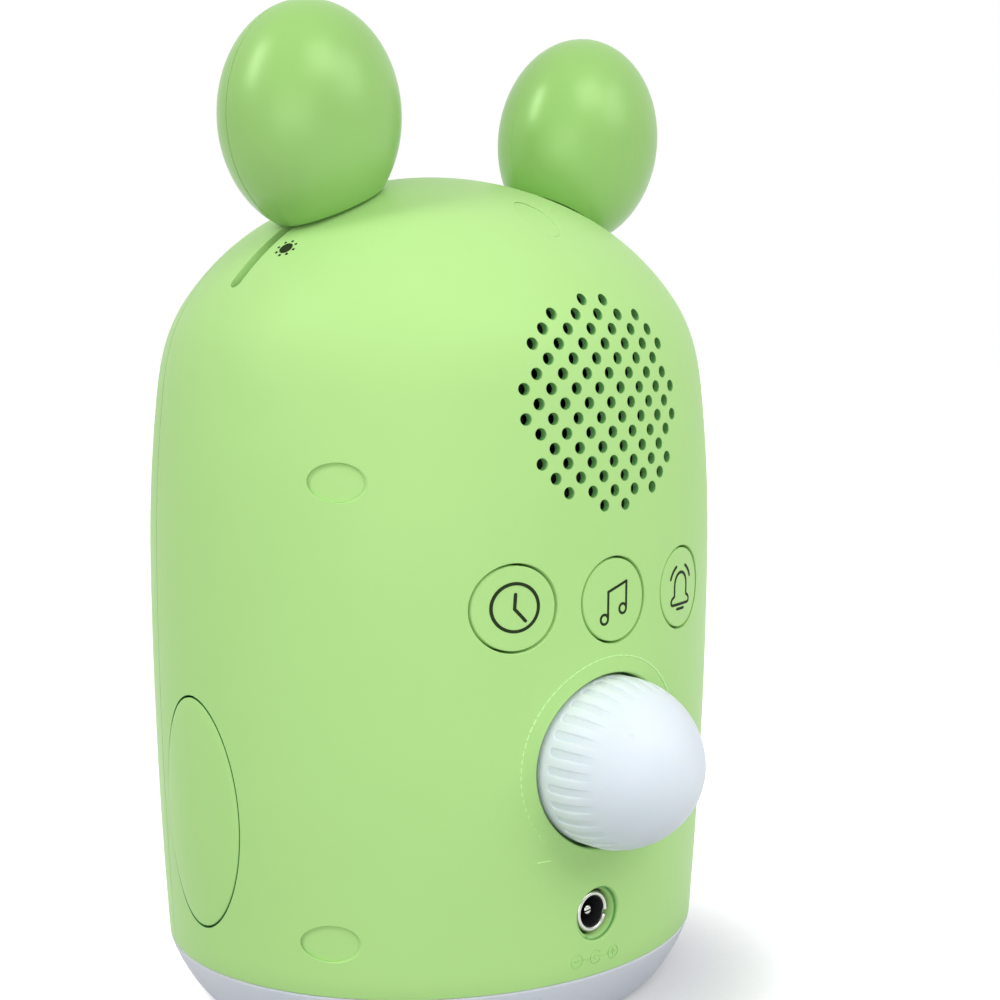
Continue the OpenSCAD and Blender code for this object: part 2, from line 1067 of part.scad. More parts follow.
module panel_icons() {
    color(ink)
        intersection() {
            skin(window_sink - print_t, window_sink);
            from_front(0, window_z - 14.5) {
                translate([-8, 0])
                    scale(1.25)
                        sun_symbol();
                translate([8, 0])
                    moon_symbol();
            }
        }
}

// Box that keeps the light of the digits together
module light_box() {
    color("white")
        difference() {
            box([-31, 31], [-38, pcb_front_y], [window_z - 21, window_z + 21]);
            box([-29.6, 29.6], [-39, pcb_front_y - 1.4], [window_z - 19.6, window_z + 19.6]);
        }
}

module display_board() {
    color(board)
        difference() {
            union() {
                box([-45, 45], [pcb_front_y, pcb_front_y + board_t], [72, 99.6]);
                box([-38, 38], [pcb_front_y, pcb_front_y + board_t], [99, 118]);
            }
            mirrored()
                for (z = display_post_at[1])
                    rod(display_post_at[0], z, pcb_front_y - 1, pcb_front_y + 3, 2.2, 24);
        }
}

module display_screws() {
    color(steel)
        mirrored()
            for (z = display_post_at[1])
                translate([display_post_at[0], pcb_front_y + board_t, z])
                    rotate([-90, 0, 0])
                        screw(3.6, 1.8, 7, 1.2);
}

// Flat cable from the main board to the display board
module ribbon_cable() {
    color("#c9ccd0")
        translate([-6, 0, 0])
            rotate([90, 0, 90])
                linear_extrude(12)
                    polygon([[30, 64.3], [20, 62.3], [6, 60.3], [-6, 62.8], [-15, 70.3], [pcb_front_y + board_t, 78.3],
                             [pcb_front_y + board_t, 77.1], [-14.4, 69.5], [-5.7, 62.1], [6, 59.7], [20, 61.7],
                             [30, 63.7]]);
}

// Base

function ring_bulge(u) = pow(1 - pow(1 - u, 1.2), 1 / 1.2);
function ring_side(r0, r1) = [for (u = [0:0.125:1]) [r0 + (r1 - r0) * ring_bulge(u), ring_z + ring_h * u]];

module base_ring() {
    lip = rim_r - wall - 0.15;
    lip_t = 1.6;
    color(white)
        scale([1, ratio, 1])
            rotate_extrude($fn = 96)
                polygon(concat([[foot_r - ring_t, ring_z]],
                               ring_side(foot_r, rim_r),
                               [[lip, rim_z], [lip, rim_z + 3.5], [lip - lip_t, rim_z + 3.5],
                                [lip - lip_t, rim_z - 1.5]]));
}

module quarters() {
    for (sx = [-1, 1], sy = [-1, 1])
        translate([sx * base_screw_at[0], sy * base_screw_at[1], 0])
            children();
}

door_at = [0, -8];
door_r = 12;
lug_y = door_at[1] - door_r - 1.5;

module door_outline(grow, h) {
    translate([door_at[0], door_at[1], ring_z]) {
        cylinder(r = door_r + grow, h = h, $fn = 72);
        translate([0, lug_y - door_at[1], 0])
            cylinder(r = 3.6 + grow, h = h, $fn = 48);
    }
}

module bottom_plate() {
    top_z = ring_z + 2.4;
    color(white)
        difference() {
            union() {
                translate([0, 0, ring_z])
                    scale([1, ratio, 1])
                        cylinder(r = foot_r - ring_t - gap, h = 2.4, $fn = 96);
                quarters()
                    translate([0, 0, ring_z])
                        cylinder(d = 10, h = 5.4 - ring_z, $fn = 48);
                translate([door_at[0], door_at[1], ring_z])
                    cylinder(r = door_r + 1.4, h = 8.8, $fn = 72);
                translate([door_at[0], lug_y, ring_z])
                    cylinder(r = 4.6, h = 4.6, $fn = 48);
                mirrored()
                    translate([31, 0, ring_z])
                        cylinder(d = 4, h = 5, $fn = 32);
            }
            quarters() {
                translate([0, 0, -1])
                    cylinder(d = 6.2, h = 4, $fn = 48);
                cylinder(d = 3.2, h = 10, $fn = 32);
            }
            for (sx = [-1, 1], sy = [-1, 1])
                translate([sx * 33, sy * 17, -1])
                    cylinder(d = 11, h = 3, $fn = 48);
            translate([0, 0, -1])
                door_outline(gap, 2.4);
            translate([door_at[0], door_at[1], 0])
                cylinder(r = door_r, h = 8.6, $fn = 72);
            translate([door_at[0], lug_y, 0])
                cylinder(d = 1.8, h = ring_z + 4.4, $fn = 24);
        }
}

// The four screws of the plate and the small one of the battery door
module base_screws() {
    color(steel) {
        quarters()
            translate([0, 0, 3])
                rotate([180, 0, 0])
                    screw(5.6, screw_d, 11, 1.7);
        translate([door_at[0], lug_y, ring_z])
            rotate([180, 0, 0])
                screw(3.4, 1.8, 4.4, 0.9);
    }
}

module rubber_feet() {
    color("#4a4c50")
        for (sx = [-1, 1], sy = [-1, 1])
            translate([sx * 33, sy * 17, 0])
                cylinder(d = 11, h = 2, $fn = 48);
}

module battery_door() {
    color(white)
        difference() {
            union() {
                door_outline(0, 1.3);
                translate([door_at[0], door_at[1], ring_z])
                    cylinder(r = 8, h = 3.6, $fn = 48);
            }
            translate([door_at[0], lug_y, 0])
                cylinder(d = 2.2, h = 4, $fn = 24);
            translate([door_at[0] - 6, door_at[1] - 0.8, 0])
                cube([12, 1.6, 1.8]);
        }
}

module coin_cell() {
    color(steel)
        translate([door_at[0], door_at[1], ring_z + 3.6])
            cylinder(r = 10, h = 4, $fn = 64);
}

module led_board() {
    z = ring_z + 5;
    color(board)
        scale([1, ratio, 1])
            difference() {
                translate([0, 0, z])
                    cylinder(r = 35, h = 1.2, $fn = 96);
                translate([0, 0, z - 1])
                    cylinder(r = 26, h = 4, $fn = 96);
            }
    color("#fff6d8")
        for (a = [15:30:345])
            rotate(a)
                translate([26.4, -1.5, z + 1.2])
                    cube([3, 3, 1.2]);
}

module ballast_plate() {
    color(steel)
        box([-14, 14], [6, 18], [ring_z + 2.4, ring_z + 8.4]);
}

rear_shell();
front_shell();
side_pads();
screw_plugs();
shell_screws();
clock_button();
music_button();
alarm_button();
clock_icon();
music_icon();
alarm_icon();
clock_plunger();
music_plunger();
alarm_plunger();
tact_switches();
volume_knob();
volume_shaft();
volume_pot();
volume_nut();
jack_housing();
jack_barrel();
jack_pin();
main_board();
board_screws();
connectors();
speaker_frame();
speaker_gasket();
speaker_cone();
speaker_magnet();
speaker_screws();
speaker_wires();
dimmer_ear_rear();
dimmer_ear_front();
dimmer_arm();
dimmer_shutter();
dimmer_shaft();
dimmer_pot();
dimmer_wires();
sun_icon();
fixed_ear_rear();
fixed_ear_front();
fixed_ear_anchor();
anchor_clip();
mid_frame();
frame_screws();
front_panel();
display_digits();
panel_icons();
light_box();
display_board();
display_screws();
ribbon_cable();
base_ring();
bottom_plate();
base_screws();
rubber_feet();
battery_door();
coin_cell();
led_board();
ballast_plate();
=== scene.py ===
"""Children's alarm clock with a night light: the visual model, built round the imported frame.

The classes hold millimetres and the finished pieces metres. +Z is up, the display faces -Y, the controls
face +Y and the sliding ear is on +X.
"""

import json
import logging
import math
from collections.abc import Iterable, Sequence
from dataclasses import dataclass, field
from enum import Enum
from functools import cached_property
from typing import Any, Protocol

import bmesh
import bpy
import numpy as np
from mathutils import Matrix, Vector


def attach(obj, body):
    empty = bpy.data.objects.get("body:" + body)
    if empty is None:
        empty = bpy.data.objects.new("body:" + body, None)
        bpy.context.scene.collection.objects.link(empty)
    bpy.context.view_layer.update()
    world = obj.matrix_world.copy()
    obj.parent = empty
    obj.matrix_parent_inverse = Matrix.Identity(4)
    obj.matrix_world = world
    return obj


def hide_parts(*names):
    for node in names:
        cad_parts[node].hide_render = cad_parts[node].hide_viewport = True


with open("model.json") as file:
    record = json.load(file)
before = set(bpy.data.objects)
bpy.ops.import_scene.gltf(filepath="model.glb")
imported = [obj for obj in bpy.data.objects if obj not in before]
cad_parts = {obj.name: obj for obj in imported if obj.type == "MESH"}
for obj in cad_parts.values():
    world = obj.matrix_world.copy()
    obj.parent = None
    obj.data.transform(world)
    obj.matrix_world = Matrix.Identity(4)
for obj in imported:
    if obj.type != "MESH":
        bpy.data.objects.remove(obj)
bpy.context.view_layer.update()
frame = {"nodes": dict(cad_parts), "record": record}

log = logging.getLogger("clock")

MM = 0.001
DEEP = -1000.0
HIGH = 1000.0
Profile = list[tuple[float, float]]


# Finishes


def linear(colour: str) -> tuple[float, float, float, float]:
    """Turns an sRGB hex colour to linear RGBA.

    Args:
        colour: six hex digits after a hash.

    Returns:
        Linear red, green, blue and an alpha of 1.
    """
    parts = [int(colour[i : i + 2], 16) / 255 for i in (1, 3, 5)]
    red, green, blue = (c / 12.92 if c <= 0.04045 else ((c + 0.055) / 1.055) ** 2.4 for c in parts)
    return red, green, blue, 1.0


def per_metre(size_mm: float) -> float:
    """Scale of a texture whose features are size_mm across, on Object coordinates in metres."""
    return 1000.0 / size_mm


class Graph:
    """Node tree of a material or a world, with a single way to add a node."""

    def __init__(self, name: str, world: bool = False) -> None:
        """Makes a material, or a world, and empties its tree."""
        self.owner = (bpy.data.worlds if world else bpy.data.materials).new(name)
        self.owner.use_nodes = True
        self.tree = self.owner.node_tree
        self.tree.nodes.clear()

    def add(self, kind: str, settings: dict[str, Any] | None = None, **inputs: Any) -> bpy.types.Node:
        """Adds a node with its settings and links.

        Args:
            kind: the node's type name, without the ShaderNode in front.
            settings: attributes of the node.
            inputs: input names, with underscores for spaces, and a value or a socket for each.

        Returns:
            The new node.
        """
        node = self.tree.nodes.new("ShaderNode" + kind)
        for key, value in (settings or {}).items():
            setattr(node, key, value)
        for key, value in inputs.items():
            name = key.replace("_", " ")
            socket = node.inputs[int(name[3:])] if name.startswith("nr ") else node.inputs[name]
            if isinstance(value, bpy.types.NodeSocket):
                self.tree.links.new(value, socket)
            else:
                socket.default_value = value
        return node

    def place(self) -> bpy.types.NodeSocket:
        """Object coordinates, in metres."""
        return self.add("TexCoord").outputs["Object"]

    def finish(self, surface: bpy.types.Node) -> Any:
        """Links the surface shader to the output and returns the material or the world."""
        kind = "OutputWorld" if isinstance(self.owner, bpy.types.World) else "OutputMaterial"
        self.add(kind, Surface=surface.outputs[0])
        return self.owner


@dataclass(frozen=True)
class Moulding:
    """Injection moulded plastic: an even colour, a faint flow mottle and the grain of a spark-eroded mould.

    In small holes and slots, where walls of the same moulding stand closer than the shade distance, the colour goes
    to the darker shade colour: painted shade, not a colour of the plastic. The sheen is the colour of the gloss.
    """

    name: str
    colour: str
    roughness: float = 0.45
    ior: float = 1.53
    grain_mm: float = 0.3
    grain_depth_mm: float = 0.004
    mottle_mm: float = 22.0
    mottle: float = 0.03
    scatter_mm: float = 0.0
    reflection: float = 0.5
    sheen: str = "#ffffff"
    # Painted shade: the darker colour laid into holes, slots and gaps, and how close the walls stand for it to
    # show.
    painted_shade_colour: str = ""
    painted_shade_mm: float = 2.6

    def make(self) -> bpy.types.Material:
        """Builds the material."""
        graph = Graph(self.name)
        place = graph.place()
        flow = graph.add(
            "TexNoise", Vector=place, Scale=per_metre(self.mottle_mm), Detail=3.0, Roughness=0.55
        ).outputs["Fac"]
        grain = graph.add(
            "TexNoise", Vector=place, Scale=per_metre(self.grain_mm), Detail=1.5, Roughness=0.6
        ).outputs["Fac"]
        base = linear(self.colour)
        low, high = (tuple(min(1.0, c * (1 + s * self.mottle)) for c in base[:3]) + (1.0,) for s in (-1, 1))
        tint = graph.add("MapRange", Value=flow, From_Min=0.3, From_Max=0.7)
        colour = graph.add("Mix", {"data_type": "RGBA"}, Factor=tint.outputs[0], nr_6=low, nr_7=high)
        # Painted shade: ambient occlusion of the moulding's own walls darkens the colour in holes, slots and gaps.
        if self.painted_shade_colour:
            settings = {"samples": 6, "only_local": True}
            unshaded_share = graph.add("AmbientOcclusion", settings, Distance=self.painted_shade_mm * MM).outputs["AO"]
            clear = graph.add("MapRange", Value=unshaded_share, From_Min=0.5, From_Max=0.9)
            colour = graph.add(
                "Mix", {"data_type": "RGBA"}, Factor=clear.outputs[0],
                nr_6=linear(self.painted_shade_colour), nr_7=colour.outputs[2],
            )
        rough = graph.add(
            "MapRange", Value=flow, From_Min=0.3, From_Max=0.7,
            To_Min=self.roughness - 0.03, To_Max=self.roughness + 0.03,
        )
        bump = graph.add("Bump", Height=grain, Strength=1.0, Distance=self.grain_depth_mm * MM)
        shader = graph.add(
            "BsdfPrincipled", Base_Color=colour.outputs[2], Roughness=rough.outputs[0], IOR=self.ior,
            Specular_IOR_Level=self.reflection, Specular_Tint=linear(self.sheen), Normal=bump.outputs[0],
        )
        if self.scatter_mm:
            shader.inputs["Subsurface Weight"].default_value = 1.0
            shader.inputs["Subsurface Radius"].default_value = (1.0, 0.9, 0.8)
            shader.inputs["Subsurface Scale"].default_value = self.scatter_mm * MM
        return graph.finish(shader)


@dataclass(frozen=True)
class PlatedMetal:
    """Turned or stamped metal with a thin plating: fine tool lines and small clouds in its gloss."""

    name: str
    colour: str
    roughness: float
    line_mm: float = 0.25
    line_depth_mm: float = 0.002
    stretch: tuple[float, float, float] = (1.0, 0.08, 1.0)

    def make(self) -> bpy.types.Material:
        """Builds the material."""
        graph = Graph(self.name)
        place = graph.place()
        along = graph.add("Mapping", Vector=place, Scale=self.stretch).outputs[0]
        lines = graph.add("TexNoise", Vector=along, Scale=per_metre(self.line_mm), Detail=3.0).outputs["Fac"]
        clouds = graph.add("TexNoise", Vector=place, Scale=per_metre(3.0), Detail=2.0).outputs["Fac"]
        base = linear(self.colour)
        dark = tuple(c * 0.78 for c in base[:3]) + (1.0,)
        colour = graph.add("Mix", {"data_type": "RGBA"}, Factor=lines, nr_6=dark, nr_7=base)
        rough = graph.add(
            "MapRange", Value=clouds, From_Min=0.3, From_Max=0.7,
            To_Min=self.roughness * 0.75, To_Max=self.roughness * 1.25,
        )
        bump = graph.add("Bump", Height=lines, Strength=0.6, Distance=self.line_depth_mm * MM)
        shader = graph.add(
            "BsdfPrincipled", Base_Color=colour.outputs[2], Metallic=1.0, Roughness=rough.outputs[0],
            Normal=bump.outputs[0],
        )
        return graph.finish(shader)


@dataclass(frozen=True)
class PadInk:
    """Pad printed ink: matt and slightly uneven in cover, so that the green tinges it where it is thin."""

    name: str
    colour: str
    thin_colour: str

    def make(self) -> bpy.types.Material:
        """Builds the material."""
        graph = Graph(self.name)
        place = graph.place()
        cover = graph.add("TexNoise", Vector=place, Scale=per_metre(0.5), Detail=4.0).outputs["Fac"]
        amount = graph.add("MapRange", Value=cover, From_Min=0.35, From_Max=0.75)
        colour = graph.add(
            "Mix", {"data_type": "RGBA"}, Factor=amount.outputs[0],
            nr_6=linear(self.colour), nr_7=linear(self.thin_colour),
        )
        bump = graph.add("Bump", Height=cover, Strength=0.5, Distance=0.004 * MM)
        shader = graph.add(
            "BsdfPrincipled", Base_Color=colour.outputs[2], Roughness=0.75, IOR=1.45, Specular_IOR_Level=0.2,
            Normal=bump.outputs[0],
        )
        return graph.finish(shader)


@dataclass(frozen=True)
class Fibre:
    """Pressed paper, foam or cord: a coarse random surface in two tones."""

    name: str
    dark: str
    light: str
    size_mm: float
    depth_mm: float
    roughness: float = 0.85

    def make(self) -> bpy.types.Material:
        """Builds the material."""
        graph = Graph(self.name)
        place = graph.place()
        cells = graph.add("TexNoise", Vector=place, Scale=per_metre(self.size_mm), Detail=5.0).outputs["Fac"]
        amount = graph.add("MapRange", Value=cells, From_Min=0.35, From_Max=0.65)
        colour = graph.add(
            "Mix", {"data_type": "RGBA"}, Factor=amount.outputs[0],
            nr_6=linear(self.dark), nr_7=linear(self.light),
        )
        bump = graph.add("Bump", Height=cells, Strength=1.0, Distance=self.depth_mm * MM)
        shader = graph.add(
            "BsdfPrincipled", Base_Color=colour.outputs[2], Roughness=self.roughness, Normal=bump.outputs[0]
        )
        return graph.finish(shader)


@dataclass(frozen=True)
class CircuitBoard:
    """Glass fibre board under green solder mask: copper tracks show as paler, slightly raised strips."""

    name: str
    mask: str = "#1d5a34"
    track: str = "#2f7a48"
    pitch_mm: float = 3.2

    def make(self) -> bpy.types.Material:
        """Builds the material."""
        graph = Graph(self.name)
        place = graph.place()
        tracks = graph.add(
            "TexBrick", {"offset": 0.5}, Vector=place, Scale=per_metre(self.pitch_mm * 2),
            Color1=(0, 0, 0, 1), Color2=(0.1, 0.1, 0.1, 1), Mortar=(1, 1, 1, 1), Mortar_Size=0.06,
        ).outputs["Color"]
        colour = graph.add(
            "Mix", {"data_type": "RGBA"}, Factor=tracks, nr_6=linear(self.mask), nr_7=linear(self.track)
        )
        bump = graph.add("Bump", Height=tracks, Strength=0.7, Distance=0.035 * MM)
        shader = graph.add(
            "BsdfPrincipled", Base_Color=colour.outputs[2], Roughness=0.3, Normal=bump.outputs[0]
        )
        return graph.finish(shader)


@dataclass(frozen=True)
class Stripes:
    """Flat cable or a printed strip: parallel cores that show as ribs."""

    name: str
    rib: str
    groove: str
    pitch_mm: float

    def make(self) -> bpy.types.Material:
        """Builds the material."""
        graph = Graph(self.name)
        place = graph.place()
        ribs = graph.add(
            "TexWave", {"wave_type": "BANDS", "bands_direction": "X"}, Vector=place,
            Scale=per_metre(self.pitch_mm) * 0.314, Distortion=0.0,
        ).outputs["Fac"]
        colour = graph.add(
            "Mix", {"data_type": "RGBA"}, Factor=ribs, nr_6=linear(self.groove), nr_7=linear(self.rib)
        )
        bump = graph.add("Bump", Height=ribs, Strength=1.0, Distance=0.15 * MM)
        shader = graph.add(
            "BsdfPrincipled", Base_Color=colour.outputs[2], Roughness=0.4, Normal=bump.outputs[0]
        )
        return graph.finish(shader)


@dataclass(frozen=True)
class LitSegment:
    """Display segment lit from behind: a warm glow, a little uneven like light through a diffuser."""

    name: str
    colour: str
    strength: float

    def make(self) -> bpy.types.Material:
        """Builds the material."""
        graph = Graph(self.name)
        place = graph.place()
        spread = graph.add("TexNoise", Vector=place, Scale=per_metre(6.0), Detail=2.0).outputs["Fac"]
        base = linear(self.colour)
        dim = tuple(c * 0.8 for c in base[:3]) + (1.0,)
        colour = graph.add("Mix", {"data_type": "RGBA"}, Factor=spread, nr_6=dim, nr_7=base)
        shader = graph.add(
            "BsdfPrincipled", Base_Color=colour.outputs[2], Roughness=0.35,
            Emission_Color=colour.outputs[2], Emission_Strength=self.strength,
        )
        return graph.finish(shader)


class Finish(Enum):
    """Every finish of the clock."""

    # Green ABS of the shells, caps and signs; its darker #46944c is painted shade in holes, slots and gaps.
    GREEN_ABS = Moulding(
        "green ABS", "#b1dc8a", roughness=0.42, mottle=0.012, reflection=0.16, sheen="#b8e8a0",
        painted_shade_colour="#46944c",
    )
    # A darker copy of the body's green ABS: painted shade on the ears, which are moulded in the same plastic.
    EAR_ABS = Moulding(
        "green ABS, ear", "#93c16c", roughness=0.32, mottle=0.012, reflection=0.55, sheen="#d8f6c0",
    )
    # Lighter, glossier copy of the green ABS for the raised scale: the lighter colour is painted highlight, the
    # gloss is real.
    BURNISHED_ABS = Moulding("green ABS, painted highlight", "#c8f2a8", roughness=0.25, mottle=0.01)
    INNER_ABS = Moulding("green ABS, inner wall", "#93c96e", roughness=0.6)
    WHITE_ABS = Moulding("white ABS", "#dfe6ec", roughness=0.4, mottle=0.01, scatter_mm=2.2, reflection=0.15)
    FROSTED_PC = Moulding(
        "frosted polycarbonate", "#cfd2db", roughness=0.5, ior=1.585, mottle=0.02, scatter_mm=2.0,
    )
    PANEL_PC = Moulding(
        "tinted polycarbonate", "#dfe4e6", roughness=0.28, ior=1.585, scatter_mm=1.0, mottle=0.01,
    )
    PLAIN_ABS = Moulding("natural ABS", "#d9dad6", roughness=0.5)
    BLACK_NYLON = Moulding("black nylon", "#141416", roughness=0.5, grain_mm=0.4, mottle=0.2)
    INK = PadInk("pad ink", "#1b2a12", "#243516")
    NICKEL = PlatedMetal("nickel plate", "#bfc0ba", roughness=0.16)
    ZINC = PlatedMetal("zinc plated steel", "#a9adb2", roughness=0.36)
    FERRITE = Fibre("ferrite", "#1b1b1d", "#2b2b2e", size_mm=0.8, depth_mm=0.02, roughness=0.6)
    BOARD = CircuitBoard("solder mask")
    PAPER = Fibre("pressed paper", "#161617", "#252527", size_mm=1.1, depth_mm=0.05)
    FOAM = Fibre("closed cell foam", "#1a1b1c", "#303133", size_mm=0.7, depth_mm=0.12)
    RUBBER = Fibre("moulded rubber", "#3a3c40", "#46484c", size_mm=0.5, depth_mm=0.02, roughness=0.75)
    VINYL = Moulding("red vinyl insulation", "#a3231f", roughness=0.4, grain_mm=0.8)
    RIBBON = Stripes("flat cable", "#c6c9ce", "#8f939a", pitch_mm=1.27)
    LIT = LitSegment("lit segment", "#ffb35c", strength=1.2)

    @property
    def material(self) -> bpy.types.Material:
        """The material, built the first time that it is asked for."""
        known = bpy.data.materials.get(self.value.name)
        return known or self.value.make()


# Forms that the pieces follow


@dataclass(frozen=True)
class Arc:
    """Part of the dome's half section. The angles are the slope of its normal, in radians."""

    x: float
    z: float
    radius: float
    start: float
    end: float

    def point(self, angle: float, inset: float = 0.0) -> tuple[float, float]:
        """Point at an angle, moved inwards by inset."""
        reach = self.radius - inset
        return self.x + reach * math.cos(angle), self.z + reach * math.sin(angle)


class Form(Protocol):
    """A surface with a known distance and normal at any point."""

    def distance(self, points: np.ndarray) -> np.ndarray:
        """Height of points over the surface."""

    def normals(self, points: np.ndarray) -> np.ndarray:
        """Outward unit normals at points."""


@dataclass(frozen=True)
class Dome:
    """Outer form of the body: tangent arcs turned about Z and narrowed along Y, sunk by inset."""

    half_width: float = 60.0
    ratio: float = 106.6 / 120.0
    rim_z: float = 11.5
    waist_h: float = 76.2
    side_r: float = 1070.0
    arc_r: tuple[float, ...] = (294.0, 54.0, 31.4, 53.0)
    arc_end: tuple[float, ...] = (6.7, 15.2, 35.4, 63.0)
    wall: float = 2.4
    inset: float = 0.0

    @cached_property
    def arcs(self) -> list[Arc]:
        """The arcs of the half section, from the rim to the crown."""
        waist_z = self.rim_z + self.waist_h
        low = math.asin(self.waist_h / self.side_r)
        arcs = [Arc(self.half_width - self.side_r, waist_z, self.side_r, -low, 0.0)]
        x, z, angle = self.half_width, waist_z, 0.0
        for radius, end in zip(self.arc_r, map(math.radians, self.arc_end)):
            arc = Arc(x - radius * math.cos(angle), z - radius * math.sin(angle), radius, angle, end)
            x, z = arc.point(end)
            angle = end
            arcs.append(arc)
        radius = x / math.cos(angle)
        arcs.append(Arc(0.0, z - radius * math.sin(angle), radius, angle, math.pi / 2))
        return arcs

    def section(self, inset: float, step_mm: float = 4.0, step_deg: float = 1.5) -> Profile:
        """Half section as points from the rim to the crown.

        Args:
            inset: distance inside the outer form.
            step_mm: longest step along an arc.
            step_deg: largest turn in a step.

        Returns:
            Radius and height of each point.
        """
        points = [self.arcs[0].point(self.arcs[0].start, inset)]
        for arc in self.arcs:
            turn = arc.end - arc.start
            steps = math.ceil(max(turn * arc.radius / step_mm, math.degrees(turn) / step_deg))
            points += [arc.point(arc.start + turn * (i + 1) / steps, inset) for i in range(steps)]
        return points[:-1] + [(0.0, points[-1][1])]

    def trace(self, z: np.ndarray) -> tuple[np.ndarray, np.ndarray]:
        """Radius of the form at heights z, and the angle of its normal over the level."""
        radius, angle = np.zeros_like(z), np.full_like(z, math.pi / 2)
        for number, arc in enumerate(self.arcs):
            reach = arc.radius - self.inset
            here = z >= arc.z + reach * math.sin(arc.start) - (1e3 if number == 0 else 0)
            turn = np.arcsin(np.clip((z - arc.z) / reach, -1, 1))
            radius = np.where(here, arc.x + reach * np.cos(turn), radius)
            angle = np.where(here, turn, angle)
        return radius, angle

    def distance(self, points: np.ndarray) -> np.ndarray:
        """Height of points over the form, about right near it."""
        radius, angle = self.trace(points[:, 2])
        return (np.hypot(points[:, 0], points[:, 1] / self.ratio) - radius) * np.cos(angle)

    def normals(self, points: np.ndarray) -> np.ndarray:
        """Outward unit normals of the form at points."""
        radius, angle = self.trace(points[:, 2])
        rise = np.maximum(radius, 1e-6) * np.tan(np.minimum(angle, math.pi / 2 - 1e-6))
        slope = np.stack([points[:, 0], points[:, 1] / self.ratio**2, rise], axis=1)
        return slope / np.linalg.norm(slope, axis=1)[:, None]

    def depth(self, across: np.ndarray, z: np.ndarray, sideways: bool) -> np.ndarray:
        """Distance of the form from the middle, along Y at x = across or, sideways, along X at y = across."""
        radius, _ = self.trace(z)
        if sideways:
            return np.sqrt(np.maximum(radius**2 - (across / self.ratio) ** 2, 0.0))
        return self.ratio * np.sqrt(np.maximum(radius**2 - across**2, 0.0))

    def sunk(self, inset: float) -> "Dome":
        """The same form, further inside by inset."""
        return Dome(inset=self.inset + inset)


@dataclass(frozen=True)
class Ellipsoid:
    """An ellipsoid of half sizes radii, placed by a matrix in millimetres."""

    radii: tuple[float, float, float]
    matrix: Matrix

    def local(self, points: np.ndarray) -> np.ndarray:
        """Points in the ellipsoid's own frame."""
        inverse = np.array(self.matrix.inverted())
        return points @ inverse[:3, :3].T + inverse[:3, 3]

    def distance(self, points: np.ndarray) -> np.ndarray:
        """Height of points over the ellipsoid, about right near it."""
        scaled = self.local(points) / np.array(self.radii)
        return (np.linalg.norm(scaled, axis=1) - 1) * min(self.radii)

    def normals(self, points: np.ndarray) -> np.ndarray:
        """Outward unit normals at points."""
        slope = self.local(points) / np.array(self.radii) ** 2
        turned = slope @ np.array(self.matrix)[:3, :3].T
        return turned / np.maximum(np.linalg.norm(turned, axis=1), 1e-9)[:, None]


DOME = Dome()


class Side(Enum):
    """Side of the body that a flat shape is laid on: across, out, and whether it looks along X."""

    REAR = ((-1, 0), (0, 1))
    FRONT = ((1, 0), (0, -1))
    LEFT = ((0, 1), (1, 0))
    RIGHT = ((0, -1), (-1, 0))


class Drape(Protocol):
    """A way to lay a flat shape on the body: u and v run along it and w is the height over it."""

    def lay(self, flat: np.ndarray) -> np.ndarray:
        """Places of flat points on the body."""


@dataclass(frozen=True)
class Lay:
    """Lays a shape on one side of the dome, round the point (across, z).

    Points that are DEEP go to the level floor, and points that are HIGH go to the level ceiling.
    """

    side: Side
    across: float
    z: float
    floor: float = 0.0
    ceiling: float = 75.0
    turn: float = 0.0
    form: Dome = DOME

    def lay(self, flat: np.ndarray) -> np.ndarray:
        """Places of flat points on the body."""
        cos, sin = math.cos(math.radians(self.turn)), math.sin(math.radians(self.turn))
        u = flat[:, 0] * cos - flat[:, 1] * sin
        v = flat[:, 0] * sin + flat[:, 1] * cos
        (ax, ay), (ox, oy) = self.side.value
        sideways = ox != 0
        run = u * (ay if sideways else ax) + self.across
        z = self.z + v
        out = self.form.depth(run, z, sideways) + flat[:, 2]
        out = np.where(flat[:, 2] <= DEEP / 2, self.floor, out)
        out = np.where(flat[:, 2] >= HIGH / 2, self.ceiling, out)
        if sideways:
            return np.stack([ox * out, run, z], axis=1)
        return np.stack([run, oy * out, z], axis=1)


@dataclass(frozen=True)
class SlotLay:
    """Lays a shape along the path of the sliding ear: u runs along the slot and w stands off the dome."""

    frame: Matrix
    middle_deg: float
    offset: float
    radius: float = 54.5
    form: Dome = DOME

    def lay(self, flat: np.ndarray) -> np.ndarray:
        """Places of flat points on the body."""
        turn = math.radians(self.middle_deg) + flat[:, 0] / self.radius
        out = np.stack([np.sin(turn), np.zeros_like(turn), np.cos(turn)], axis=1)
        spin = np.array(self.frame)[:3, :3]
        base = np.array(self.frame)[:3, 3] + np.outer(flat[:, 1] + self.offset, spin[:, 1])
        ray = out @ spin.T
        near, far = np.full(len(flat), 30.0), np.full(len(flat), 80.0)
        for _ in range(40):
            half = (near + far) / 2
            inside = self.form.distance(base + half[:, None] * ray) < 0
            near, far = np.where(inside, half, near), np.where(inside, far, half)
        return base + ((near + far) / 2 + flat[:, 2])[:, None] * ray


# Shapes


class Cut(Enum):
    """What a tool does to a blank."""

    TAKE = "DIFFERENCE"
    ADD = "UNION"
    KEEP = "INTERSECT"


